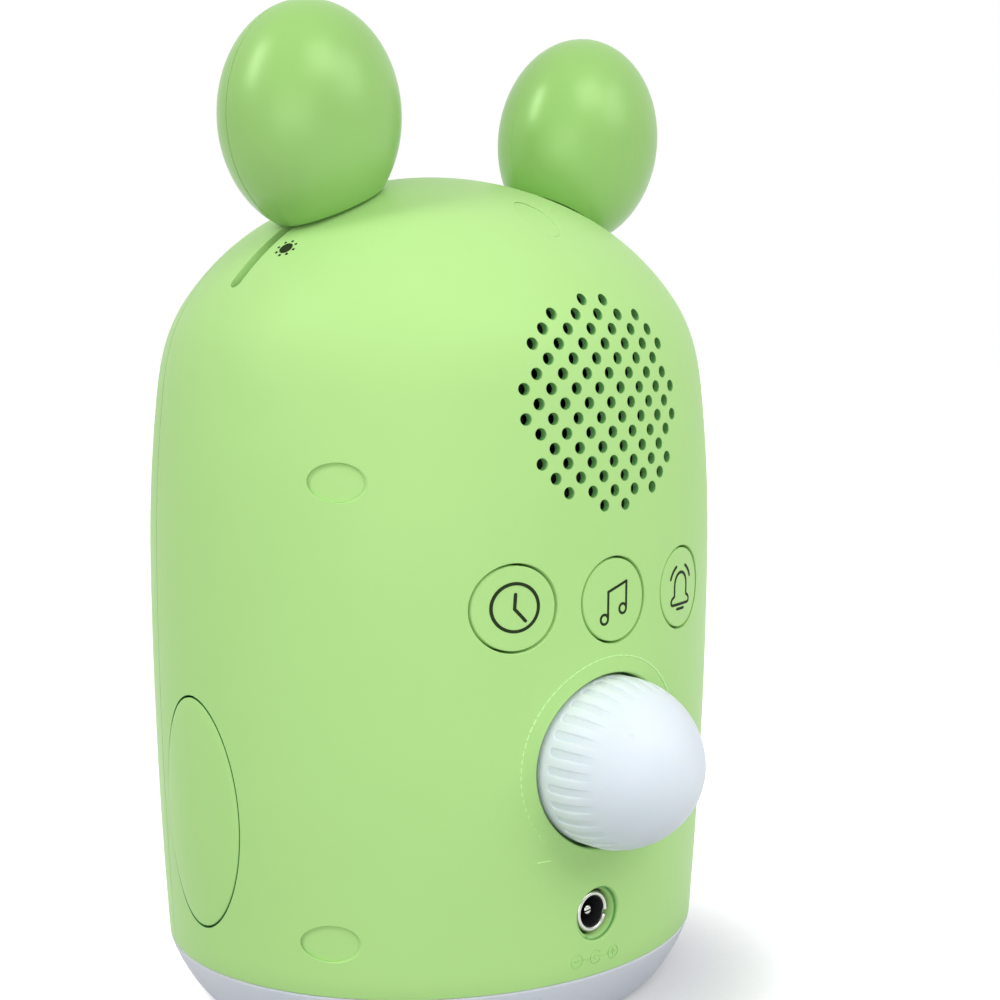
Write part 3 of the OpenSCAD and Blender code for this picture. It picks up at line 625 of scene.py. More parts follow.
class Blank:
    """A mesh under construction, in millimetres, shaped by bmesh operators."""

    def __init__(self) -> None:
        """Starts empty."""
        self.bm = bmesh.new()

    @classmethod
    def turned(cls, profile: Sequence[tuple[float, float]], segments: int, closed: bool = False) -> "Blank":
        """Turns a half section about Z.

        Args:
            profile: radius and height of each point, from one end of the section to the other.
            segments: steps of the full turn.
            closed: whether the last point joins the first.

        Returns:
            The turned blank, with its faces outwards.
        """
        blank = cls()
        bm = blank.bm
        verts = [bm.verts.new((radius, 0.0, height)) for radius, height in profile]
        pairs = list(zip(verts, verts[1:])) + ([(verts[-1], verts[0])] if closed else [])
        edges = [bm.edges.new(pair) for pair in pairs]
        bmesh.ops.spin(
            bm, geom=verts + edges, cent=(0, 0, 0), axis=(0, 0, 1), dvec=(0, 0, 0), angle=math.tau,
            steps=segments, use_merge=True, use_normal_flip=False, use_duplicate=False,
        )
        return blank.cleaned()

    @classmethod
    def block(cls, low: Sequence[float], high: Sequence[float]) -> "Blank":
        """A block between two corners."""
        blank = cls()
        size = [h - l for l, h in zip(low, high)]
        middle = [(h + l) / 2 for l, h in zip(low, high)]
        place = Matrix.Translation(middle) @ Matrix.Diagonal((*size, 1.0))
        bmesh.ops.create_cube(blank.bm, size=1.0, matrix=place)
        return blank

    @classmethod
    def ball(cls, centre: Sequence[float], radius: float, rings: int = 96) -> "Blank":
        """A ball."""
        blank = cls()
        place = Matrix.Translation(centre)
        bmesh.ops.create_uvsphere(blank.bm, u_segments=2 * rings, v_segments=rings, radius=radius, matrix=place)
        return blank

    @classmethod
    def bar(cls, length: float, width: float, height: float, sink: float = 0.3) -> "Blank":
        """A raised line along u, with a narrower top, divided finely enough to lie on the dome."""
        blank = cls()
        bmesh.ops.create_cube(blank.bm, size=1.0)
        for vert in blank.bm.verts:
            top = vert.co.z > 0
            end = length / 2 - (height if top else 0.0)
            side = width / 2 - (height * 0.6 if top else 0.0)
            vert.co = (math.copysign(end, vert.co.x), math.copysign(side, vert.co.y), height if top else -sink)
        long_edges = [e for e in blank.bm.edges if abs(e.verts[0].co.x - e.verts[1].co.x) > 1e-6]
        cuts = max(1, round(length / 1.0))
        bmesh.ops.subdivide_edges(blank.bm, edges=long_edges, cuts=cuts, use_grid_fill=True)
        return blank.cleaned()

    @classmethod
    def arc_bar(cls, radius: float, start: float, end: float, width: float, height: float) -> "Blank":
        """A raised line along an arc about the origin, between two angles in degrees."""
        blank = cls()
        bm = blank.bm
        half, top = width / 2, width / 2 - height * 0.6
        section = [(radius - half, -0.3), (radius - top, height), (radius + top, height), (radius + half, -0.3)]
        turn = Matrix.Rotation(math.radians(start), 3, "Z")
        verts = [bm.verts.new(turn @ Vector((r, 0.0, h))) for r, h in section]
        face = bm.faces.new(verts)
        steps = max(2, math.ceil(math.radians(abs(end - start)) * radius / 0.8))
        full = abs(abs(end - start) - 360) < 1e-6
        swept = bmesh.ops.spin(
            bm, geom=[face, *face.edges, *face.verts], cent=(0, 0, 0), axis=(0, 0, 1), dvec=(0, 0, 0),
            angle=math.radians(end - start), steps=steps, use_merge=full, use_normal_flip=False,
            use_duplicate=False,
        )
        if full:
            doubled = [item for item in swept["geom_last"] if isinstance(item, bmesh.types.BMFace)]
            bmesh.ops.delete(bm, geom=doubled, context="FACES_ONLY")
        return blank.capped().cleaned()

    def cleaned(self, dist: float = 1e-4) -> "Blank":
        """Merges doubles and turns the faces outwards."""
        bmesh.ops.remove_doubles(self.bm, verts=self.bm.verts, dist=dist)
        bmesh.ops.dissolve_degenerate(self.bm, edges=self.bm.edges, dist=1e-6)
        bmesh.ops.recalc_face_normals(self.bm, faces=self.bm.faces)
        return self

    def capped(self) -> "Blank":
        """Closes each open rim with a flat face."""
        bmesh.ops.holes_fill(self.bm, edges=[e for e in self.bm.edges if e.is_boundary], sides=0)
        return self

    def stretched(self, u: float, v: float = 0.0, step: float = 1.0) -> "Blank":
        """Pulls the two halves along u, and along v, apart, and divides the faces between them.

        Args:
            u: how far each half moves along the first axis.
            v: how far each half moves along the second axis.
            step: spacing of the new divisions.

        Returns:
            The blank itself.
        """
        for axis, shift in ((0, u), (1, v)):
            if not shift:
                continue
            crossing = [e for e in self.bm.edges if e.verts[0].co[axis] * e.verts[1].co[axis] < 0]
            for vert in self.bm.verts:
                if abs(vert.co[axis]) > 1e-6:
                    vert.co[axis] += math.copysign(shift, vert.co[axis])
            bmesh.ops.subdivide_edges(
                self.bm, edges=crossing, cuts=max(1, round(2 * shift / step)), use_grid_fill=True
            )
        return self

    def laid(self, drape: Drape) -> "Blank":
        """Lays the blank on the body."""
        places = drape.lay(np.array([v.co[:] for v in self.bm.verts]))
        for vert, place in zip(self.bm.verts, places):
            vert.co = place
        return self

    def moved(self, matrix: Matrix) -> "Blank":
        """Places the blank, and turns its faces back outwards if the matrix mirrors it."""
        bmesh.ops.transform(self.bm, matrix=matrix, verts=self.bm.verts)
        if matrix.determinant() < 0:
            bmesh.ops.reverse_faces(self.bm, faces=self.bm.faces)
        return self

    def joined(self, others: Iterable["Blank"]) -> "Blank":
        """Takes other blanks in, without cutting anything."""
        for other in others:
            mesh = bpy.data.meshes.new("part")
            other.bm.to_mesh(mesh)
            self.bm.from_mesh(mesh)
            bpy.data.meshes.remove(mesh)
        return self

    def cut(self, how: Cut, *tools: "Blank") -> "Blank":
        """Applies tools one after the other with exact booleans.

        Args:
            how: whether each tool takes away, adds or keeps.
            tools: blanks whose own solids don't meet each other.

        Returns:
            The blank itself, with its new mesh.
        """
        work = self.thing("work")
        helpers = [tool.thing("tool") for tool in tools]
        for helper in helpers:
            modifier = work.modifiers.new("cut", "BOOLEAN")
            modifier.operation = how.value
            modifier.solver = "MANIFOLD"
            modifier.object = helper
        bpy.context.view_layer.update()
        done = work.evaluated_get(bpy.context.evaluated_depsgraph_get()).to_mesh()
        self.bm.clear()
        self.bm.from_mesh(done)
        for thing in [work, *helpers]:
            mesh = thing.data
            bpy.data.objects.remove(thing)
            bpy.data.meshes.remove(mesh)
        return self

    def thing(self, name: str) -> bpy.types.Object:
        """The blank as an object of the scene, still in millimetres."""
        mesh = bpy.data.meshes.new(name)
        self.bm.to_mesh(mesh)
        made = bpy.data.objects.new(name, mesh)
        bpy.context.scene.collection.objects.link(made)
        return made


def quarter(
    radius: float, rise: float, start: float, end: float, steps: int, middle: tuple[float, float]
) -> Profile:
    """Points of a quarter of an ellipse.

    Args:
        radius: half size along the radius.
        rise: half size along the height.
        start: first angle in degrees.
        end: last angle in degrees.
        steps: number of steps between them.
        middle: centre of the arc.

    Returns:
        Radius and height of each point.
    """
    angles = [math.radians(start + (end - start) * i / steps) for i in range(steps + 1)]
    return [(middle[0] + radius * math.cos(a), middle[1] + rise * math.sin(a)) for a in angles]


def rounded_rim(radius: float, edge: float, steps: int, top: float) -> Profile:
    """Rim of an opening, rounded by edge and flared a little above the surface, up to the level top."""
    rim = quarter(edge, edge, 180, 100, steps, (radius + edge, -edge))
    return [*rim, (radius + edge * 1.4, edge * 0.09), (radius + edge * 1.5, top)]


def opening(radius: float, edge: float, segments: int, steps: int = 5) -> Blank:
    """Tool for a round opening whose rim is rounded by edge."""
    rim = rounded_rim(radius, edge, steps, HIGH)
    return Blank.turned([(0, DEEP), (radius, DEEP), *rim, (0, HIGH)], segments)


def lid(radius: float, edge: float, segments: int, step: float = 0.8) -> Blank:
    """A round plate with a rounded upper edge, fine enough to follow the dome."""
    flat = radius - edge
    rings = max(2, round(flat / step))
    face = [(flat * i / rings, 0.0) for i in range(rings)]
    side = quarter(edge, edge, 90, 0, 4, (flat, -edge))
    return Blank.turned([*face, *side, (radius, DEEP), (0, DEEP)], segments)


def rearwards(place: tuple[float, float], y: float) -> Matrix:
    """Turns +Z to +Y, round the point (x, z) of the rear and from the level y."""
    x, z = place
    return Matrix.Translation((x, y, z)) @ Matrix.Rotation(math.radians(-90), 4, "X")


def shade(mesh: bpy.types.Mesh, forms: Sequence[Form], sharp_deg: float) -> None:
    """Shades a mesh smooth, sharp at its corners, with the true normals of the forms that it follows.

    Args:
        mesh: a mesh in millimetres.
        forms: surfaces that faces of the mesh lie on.
        sharp_deg: angle from which an edge is a corner.
    """
    mesh.shade_smooth()
    mesh.set_sharp_from_angle(angle=math.radians(sharp_deg))
    if not forms:
        return
    points = np.empty(len(mesh.vertices) * 3)
    mesh.vertices.foreach_get("co", points)
    points = points.reshape(-1, 3)
    corner = np.empty(len(mesh.loops), dtype=np.int32)
    mesh.loops.foreach_get("vertex_index", corner)
    facing = np.empty(len(mesh.polygons) * 3)
    mesh.polygons.foreach_get("normal", facing)
    counts = np.empty(len(mesh.polygons), dtype=np.int32)
    mesh.polygons.foreach_get("loop_total", counts)
    facing = np.repeat(facing.reshape(-1, 3), counts, axis=0)
    custom = np.zeros((len(corner), 3))
    for form in forms:
        true = form.normals(points)[corner]
        near = np.abs(form.distance(points)) < 0.02
        follows = near[corner] & (np.einsum("ij,ij->i", true, facing) > 0.85)
        custom[follows] = true[follows]
    mesh.normals_split_custom_set(custom)


def publish(
    blank: Blank,
    name: str,
    finish: Finish,
    body: str = "root",
    replaces: Sequence[str] = (),
    forms: Sequence[Form] = (),
    sharp_deg: float = 32.0,
) -> bpy.types.Object:
    """Makes a finished piece from a blank.

    Args:
        blank: the shape, in millimetres.
        name: name of the piece.
        finish: its finish.
        body: the body that it moves with.
        replaces: CAD nodes that it stands for.
        forms: surfaces that its faces follow.
        sharp_deg: angle from which an edge is a corner.

    Returns:
        The piece, in metres.
    """
    mesh = bpy.data.meshes.new(name)
    blank.bm.to_mesh(mesh)
    shade(mesh, forms, sharp_deg)
    mesh.transform(Matrix.Scale(MM, 4))
    mesh.materials.append(finish.material)
    piece = bpy.data.objects.new(name, mesh)
    bpy.context.scene.collection.objects.link(piece)
    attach(piece, body)
    if replaces:
        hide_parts(*replaces)
    log.info("%s: %d faces on %s", name, len(mesh.polygons), body)
    blank.bm.free()
    return piece


# Sub-assemblies


@dataclass
class Controls:
    """Places on the rear of the body, x and z."""

    speaker: tuple[float, float] = (0.0, 120.2)
    buttons: tuple[float, ...] = (21.5, 0.0, -21.5)
    button_z: float = 83.8
    knob: tuple[float, float] = (0.0, 53.2)
    jack: tuple[float, float] = (1.7, 23.7)
    screws: tuple[tuple[float, float], ...] = (
        (47.4, 106.6), (47.6, 21.9), (-47.4, 106.6), (-47.6, 21.9), (0.2, 154.4),
    )


@dataclass
class Pivot:
    """The swing of the sliding ear."""

    centre: tuple[float, float, float] = (7.0, 0.9, 108.2)
    tilt: float = 4.4
    slot_v: float = -0.6
    slot_w: float = 3.0
    slot_from: float = 18.0
    slot_to: float = 51.1

    @property
    def frame(self) -> Matrix:
        """Frame whose origin is the pivot and whose Y is the axis of the swing."""
        return Matrix.Translation(self.centre) @ Matrix.Rotation(math.radians(-self.tilt), 4, "X")


@dataclass
class Body:
    """Green dome in two shells, with its openings, screw plugs and side pads."""

    controls: Controls = field(default_factory=Controls)
    pivot: Pivot = field(default_factory=Pivot)
    segments: int = 320
    seam_y: float = -14.0
    seam_gap: float = 0.09
    rim_edge: float = 0.35
    grille_hole: float = 2.2
    grille_pitch: float = 5.36
    grille_reach: float = 3.7
    grille_wall: float = 1.5
    grille_thin_r: float = 22.5
    grille_back_y: float = 40.0
    button_hole: float = 16.4
    button_cup_y: float = 43.2
    button_through_y: float = 30.0
    well_d: float = 33.6
    well_floor: float = 48.4
    well_cup_y: float = 46.4
    jack_dish: tuple[float, float, float] = (5.2, 0.5, 50.6)
    jack_hole: tuple[float, float] = (4.6, 50.3)
    jack_hole_depth: float = 10.0
    jack_cup: tuple[float, float] = (6.6, 48.3)
    cup_inset: float = 1.2
    recess_d: float = 7.0
    plug_sinks: tuple[float, ...] = (0.6, 0.5, 0.6, 0.5, 0.2)
    plug_under: float = 2.0
    pad_at: tuple[float, float] = (1.2, 42.5)
    pad_r: tuple[float, float] = (12.0, 22.4)
    pad_h: float = 0.7
    pad_floor: float = 56.0
    pad_line: tuple[float, float] = (11.9, 12.15)
    lip_z: tuple[float, float] = (16.0, 200.0)
    window: tuple[float, float, float] = (72.0, 50.0, 22.0)
    window_z: float = 95.0

    def shell(self) -> Blank:
        """The whole dome and its inner wall, each closed below by a flat face of its own."""
        outer = DOME.section(0.0)
        rim_r, rim_z = outer[0]
        edge = self.rim_edge
        rim = [(rim_r - edge, rim_z), (rim_r - edge * 0.3, rim_z + edge * 0.3), (rim_r, rim_z + edge)]
        inner = DOME.section(DOME.wall, 8.0, 4.0)
        inner[0] = (inner[0][0], rim_z)
        return Blank.turned([*rim, *outer[1:], *reversed(inner)], self.segments).capped()

    def squeezed(self, blank: Blank) -> Blank:
        """Narrows a turned blank along Y, as the dome is."""
        return blank.moved(Matrix.Diagonal((1.0, DOME.ratio, 1.0, 1.0)))

    def grille(self) -> Blank:
        """Tools for the speaker's holes, in staggered rows inside a circle."""
        x0, z0 = self.controls.speaker
        tools = []
        for row in range(-7, 8):
            for i in range(-4, 5):
                u = (i + (0.5 if row % 2 else 0.0)) * self.grille_pitch
                v = row * self.grille_pitch / 2
                if math.hypot(u, v) < self.grille_reach * self.grille_pitch:
                    hole = opening(self.grille_hole / 2, 0.12, 24, 2)
                    tools.append(hole.laid(Lay(Side.REAR, x0 + u, z0 + v, floor=self.grille_back_y)))
        return Blank().joined(tools)

    def slot_tool(self, grow: float, top: float, bottom: float, edge: float) -> Blank:
        """Curved stadium along the path of the sliding ear.

        Args:
            grow: how much wider than the slot it is, on each side.
            top: height of its upper end over the dome.
            bottom: height of its lower end over the dome.
            edge: rounding of the slot's rim, or 0 for none.

        Returns:
            The stadium, laid on the dome.
        """
        pivot = self.pivot
        radius = pivot.slot_w / 2 + grow
        rim = rounded_rim(radius, edge, 4, top) if edge else [(radius, top)]
        lay = SlotLay(pivot.frame, (pivot.slot_from + pivot.slot_to) / 2, pivot.slot_v)
        half = math.radians(pivot.slot_to - pivot.slot_from) * lay.radius / 2
        blank = Blank.turned([(0, bottom), (radius, bottom), *rim, (0, top)], 36)
        bmesh.ops.rotate(blank.bm, verts=blank.bm.verts, matrix=Matrix.Rotation(math.radians(5), 3, "Z"))
        return blank.stretched(half).laid(lay)

    def window_tool(self, grow: float, edge: float, floor: float) -> Blank:
        """Tool for the rounded front window.

        Args:
            grow: how much wider than the window it is, on each side.
            edge: rounding of the window's rim.
            floor: level that it reaches down to.

        Returns:
            The tool, laid on the dome.
        """
        width, height, corner = self.window
        blank = opening(corner + grow, edge, 120, 5)
        bmesh.ops.rotate(blank.bm, verts=blank.bm.verts, matrix=Matrix.Rotation(math.radians(1.5), 3, "Z"))
        blank.stretched(width / 2 - corner, height / 2 - corner, 1.5)
        return blank.laid(Lay(Side.FRONT, 0.0, self.window_z, floor=floor))

    def cups(self) -> Blank:
        """Seats behind the knob, the buttons and the power inlet, which stand off the inner wall."""
        c = self.controls
        seats = [(c.knob, self.well_d / 2 + 1.9, 96, 6.0, self.well_cup_y)]
        seats += [((x, c.button_z), self.button_hole / 2 + 1.5, 64, 4.0, self.button_cup_y) for x in c.buttons]
        seats += [(c.jack, self.jack_cup[0], 48, 3.0, self.jack_cup[1])]
        form = DOME.sunk(self.cup_inset)
        return Blank().joined(
            lid(radius, 0.1, segments, step).laid(Lay(Side.REAR, *place, floor=floor, form=form))
            for place, radius, segments, step, floor in seats
        )

    def round_tools(self) -> Blank:
        """Tools for the button openings, the knob's well and the screw recesses."""
        c = self.controls
        holes = [((x, c.button_z), self.button_hole, 0.2, 96, self.button_through_y) for x in c.buttons]
        holes += [(c.knob, self.well_d, 0.45, 128, self.well_floor)]
        holes += [(place, self.recess_d, 0.25, 64, self.recess_floor(*place)) for place in c.screws]
        return Blank().joined(
            opening(across / 2, edge, segments).laid(Lay(Side.REAR, *place, floor=floor))
            for place, across, edge, segments, floor in holes
        )

    def thin_tool(self) -> Blank:
        """Tool that leaves only a thin wall at the grille. Its faces are triangles, so that the holes stay open."""
        form = DOME.sunk(self.grille_wall)
        lay = Lay(Side.REAR, *self.controls.speaker, floor=self.grille_back_y, form=form)
        thin = lid(self.grille_thin_r, 0.1, 72, 3.0).laid(lay)
        bmesh.ops.triangulate(thin.bm, faces=thin.bm.faces)
        return thin

    def rear_shell(self) -> bpy.types.Object:
        """Rear shell with all its openings."""
        blank = self.squeezed(self.shell())
        blank.cut(Cut.ADD, self.cups(), self.slot_tool(1.3, -1.0, -4.3, 0.0))
        half = Blank.block((-90, -90, -20), (90, self.seam_y + self.seam_gap, 200))
        pads = Blank().joined(self.pad_tool(side) for side in (Side.LEFT, Side.RIGHT))
        slot = self.slot_tool(0.0, 3.0, -9.0, 0.22)
        speaker = self.thin_tool(), self.grille()
        blank.cut(Cut.TAKE, half, *speaker, self.round_tools(), slot, pads, *self.jack_tools())
        return publish(
            blank, "rear_shell_moulding", Finish.GREEN_ABS, replaces=["rear_shell"],
            forms=[DOME],
        )

    def recess_floor(self, x: float, z: float) -> float:
        """Level of the floor of a screw recess, a little under the plug."""
        edge_z = np.array([z + self.recess_d / 2])
        return float(DOME.depth(np.array([abs(x) + 3.0]), edge_z, False)[0]) - self.plug_under

    def jack_tools(self) -> tuple[Blank, Blank]:
        """Tools for the power inlet's hole and for its shallow dish with a rounded rim."""
        radius, edge, floor = self.jack_dish
        dish = opening(radius, edge, 72).laid(Lay(Side.REAR, *self.controls.jack, floor=floor))
        bore, level = self.jack_hole
        low = -self.jack_hole_depth
        rim = [(bore, 0.1), (bore + 0.12, 0.3), (bore + 0.12, 0.4)]
        hole = Blank.turned([(0, low), (bore, low), *rim, (0, 0.4)], 72)
        return hole.moved(rearwards(self.controls.jack, level)), dish

    def pad_tool(self, side: Side) -> Blank:
        """Tool for the fine line round a side pad."""
        near, far = self.pad_line
        ring = Blank.turned([(near, DEEP), (near, HIGH), (far, HIGH), (far, DEEP)], 144, closed=True)
        return self.oval(ring).laid(Lay(side, *self.pad_at, floor=self.pad_floor + 0.4, ceiling=70.0))

    def oval(self, blank: Blank) -> Blank:
        """Stretches a round blank to the shape of a side pad."""
        return blank.moved(Matrix.Diagonal((1.0, self.pad_r[1] / self.pad_r[0], 1.0, 1.0)))

    def front_shell(self) -> bpy.types.Object:
        """Front shell with the window and the lip that enters the rear shell."""
        blank = self.squeezed(self.shell())
        half = Blank.block((-90, self.seam_y - self.seam_gap, -20), (90, 90, 200))
        pads = Blank().joined(self.pad_tool(side) for side in (Side.LEFT, Side.RIGHT))
        blank.cut(Cut.TAKE, half, self.window_tool(0.1, 0.35, 0.0), pads)
        outer, inner = (DOME.section(DOME.wall + inset, 6.0, 4.0) for inset in (0.1, 1.1))
        lip = self.squeezed(Blank.turned([*outer, *reversed(inner)], 160)).capped()
        low, high = self.lip_z
        lip.cut(Cut.KEEP, Blank.block((-90, self.seam_y - 2.5, low), (90, self.seam_y + 1.5, high)))
        blank.joined([lip])
        return publish(
            blank, "front_shell_moulding", Finish.GREEN_ABS, replaces=["front_shell"],
            forms=[DOME],
        )

    def plugs(self) -> bpy.types.Object:
        """Caps in the screw recesses."""
        forms = [DOME.sunk(sink) for sink in self.plug_sinks]
        caps = [
            lid(self.recess_d / 2 - 0.02, 0.05, 64, 0.6).laid(
                Lay(Side.REAR, x, z, floor=self.recess_floor(x, z) + 0.1, form=form)
            )
            for (x, z), form in zip(self.controls.screws, forms)
        ]
        return publish(
            Blank().joined(caps), "screw_plug_caps", Finish.GREEN_ABS, replaces=["screw_plugs"],
            forms=forms,
        )

    def pads(self) -> bpy.types.Object:
        """Raised oval on each lower side, with a pillowed face."""
        blanks = []
        edge = self.pad_line[0] - 0.02
        for side in (Side.LEFT, Side.RIGHT):
            face = [(11.6 * i / 14, self.pad_h * (1 - 0.75 * (i / 14) ** 2)) for i in range(15)]
            profile = [*face, (edge - 0.08, 0.1), (edge, -0.1), (edge, DEEP), (0, DEEP)]
            oval = self.oval(Blank.turned(profile, 144))
            blanks.append(oval.laid(Lay(side, *self.pad_at, floor=self.pad_floor)))
        return publish(
            Blank().joined(blanks), "side_pad_ovals", Finish.GREEN_ABS, replaces=["side_pads"],
        )

    def build(self) -> None:
        """Builds the whole body."""
        self.rear_shell()
        self.front_shell()
        self.plugs()
        self.pads()


@dataclass
class Keys:
    """Three round push caps with printed symbols."""

    controls: Controls = field(default_factory=Controls)
    names: tuple[str, ...] = ("clock", "music", "alarm")
    cap_d: float = 15.5
    sink: float = 0.15
    edge: float = 0.25
    back_y: float = 43.4

    def build(self) -> None:
        """Builds the caps. Their symbols and plungers are CAD nodes."""
        form = DOME.sunk(self.sink)
        for name, x in zip(self.names, self.controls.buttons):
            cap = lid(self.cap_d / 2, self.edge, 96, 0.7)
            cap.laid(Lay(Side.REAR, x, self.controls.button_z, floor=self.back_y, form=form))
            publish(
                cap, f"{name}_button_cap", Finish.GREEN_ABS, f"{name}_key", [f"{name}_button"],
                [form],
            )


@dataclass
class VolumeControl:
    """White domed knob with moulded flutes, and the raised scale round it."""

    controls: Controls = field(default_factory=Controls)
    base_y: float = 49.25
    radius: float = 16.2
    skirt: float = 5.4
    dome_h: float = 16.8
    exponent: float = 1.86
    flutes: int = 30
    flute_w: float = 1.9
    flute_wall: float = 0.3
    flute_depth: float = 0.35
    flute_from: float = 3.1
    flute_fade: tuple[float, float] = (9.0, 12.8)
    flute_turn: float = 3.0
    gate_deg: float = 44.7
    gate_h: float = 16.45
    columns: tuple[float, ...] = (0.0, 0.3, 0.55, 0.64, 0.7, 0.76, 0.82, 0.88, 0.94, 1.02, 1.2, 1.45)
    scale_r: float = 20.05
    marks_n: int = 61
    marks_sweep: float = 263.0
    mark_rise: float = 0.14
    sign_at: tuple[float, float] = (14.9, 36.1)

    def profile(self) -> Profile:
        """Half section of the knob, from its back to its crown, with close rows where the flutes start."""
        r, h = self.radius, self.dome_h
        back = [(0, 1.2), (r - 2.0, 1.2), (r - 2.0, 0.0), *quarter(0.5, 0.5, -90, 0, 4, (r - 0.5, 0.5))]
        flute_rows = np.arange(self.flute_from - 0.15, self.flute_from + 1.2, 0.09)
        side = [(r, y) for y in (1.3, 2.2, *flute_rows, 4.7, 5.05, self.skirt)]
        turns = [math.radians(a) for a in np.arange(2.0, 89.0, 2.2)]
        gate_rows = np.arange(-0.9, 1.0, 0.15) + self.gate_h - self.skirt
        heights = sorted({*(h * math.sin(a) for a in turns), *gate_rows})
        dome = [(r * (1 - (y / h) ** self.exponent) ** (1 / self.exponent), self.skirt + y) for y in heights]
        return [*back, *side, *dome, (0, self.skirt + h)]

    def fluted(self, points: np.ndarray) -> np.ndarray:
        """Presses the flutes and the gate mark into points of the turned knob.

        Args:
            points: places on the knob, with the axis along z.

        Returns:
            The moved places. The columns of points crowd together at the walls of the flutes.
        """
        reach = np.hypot(points[:, 0], points[:, 1])
        height = points[:, 2]
        pitch = math.tau / self.flutes
        share = np.arctan2(points[:, 1], points[:, 0]) / pitch
        number = np.floor(share + 1e-6)
        step = pitch * self.radius
        places = [*self.columns, step / 2, *(step - c for c in reversed(self.columns))]
        along = np.interp((share - number) * (len(places) - 1), range(len(places)), places)
        across = np.where(along > step / 2, along - step, along)
        turn = number * pitch + along / self.radius + math.radians(self.flute_turn)
        half = self.flute_w / 2
        off = np.hypot(across, np.minimum(height - (self.flute_from + half), 0.0))
        wall = np.clip((half - off) / self.flute_wall, 0, 1)
        start, end = self.flute_fade
        fade = np.clip((end - height) / (end - start), 0, 1)
        depth = self.flute_depth * wall**2 * (3 - 2 * wall) * fade
        gate_off = np.hypot(reach * (turn - math.radians(self.gate_deg)), (height - self.gate_h) * 1.3)
        depth += 0.2 * np.clip(1 - gate_off / 0.7, 0, 1) ** 0.6 * (height > 10)
        reach = np.where(reach > self.radius * 0.3, reach - depth, reach)
        return np.stack([reach * np.cos(turn), reach * np.sin(turn), height], axis=1)

    def knob(self) -> bpy.types.Object:
        """The knob."""
        blank = Blank.turned(self.profile(), self.flutes * 2 * len(self.columns))
        points = self.fluted(np.array([v.co[:] for v in blank.bm.verts]))
        for vert, point in zip(blank.bm.verts, points):
            vert.co = point
        x, z = self.controls.knob
        stand = Matrix(((0, 1, 0, x), (0, 0, 1, self.base_y), (1, 0, 0, z), (0, 0, 0, 1)))
        return publish(
            blank.moved(stand), "volume_knob_moulding", Finish.WHITE_ABS, "volume_dial", ["volume_knob"],
            sharp_deg=60.0,
        )

    def marks(self) -> bpy.types.Object:
        """Raised dashes that grow clockwise, and the minus and plus at their ends."""
        lay = Lay(Side.REAR, *self.controls.knob)
        step = self.marks_sweep / (self.marks_n - 1)
        blanks = []
        for i in range(self.marks_n):
            middle = 90 + self.marks_sweep / 2 - step * i
            half = step * min(0.44, 0.21 + 0.0115 * i)
            width = 0.24 + 0.24 * i / self.marks_n
            dash = Blank.arc_bar(self.scale_r, middle - half, middle + half, width, self.mark_rise)
            blanks.append(dash.laid(lay))
        x, z = self.sign_at
        for across, turn in ((x, 0.0), (-x, 0.0), (-x, 90.0)):
            blanks.append(Blank.bar(3.0, 0.36, self.mark_rise).laid(Lay(Side.REAR, across, z, turn=turn)))
        # The dashes take the lighter copy of the green ABS: painted highlight on their tops.
        return publish(Blank().joined(blanks), "volume_scale", Finish.BURNISHED_ABS)

    def build(self) -> None:
        """Builds the knob and its scale."""
        self.knob()
        self.marks()


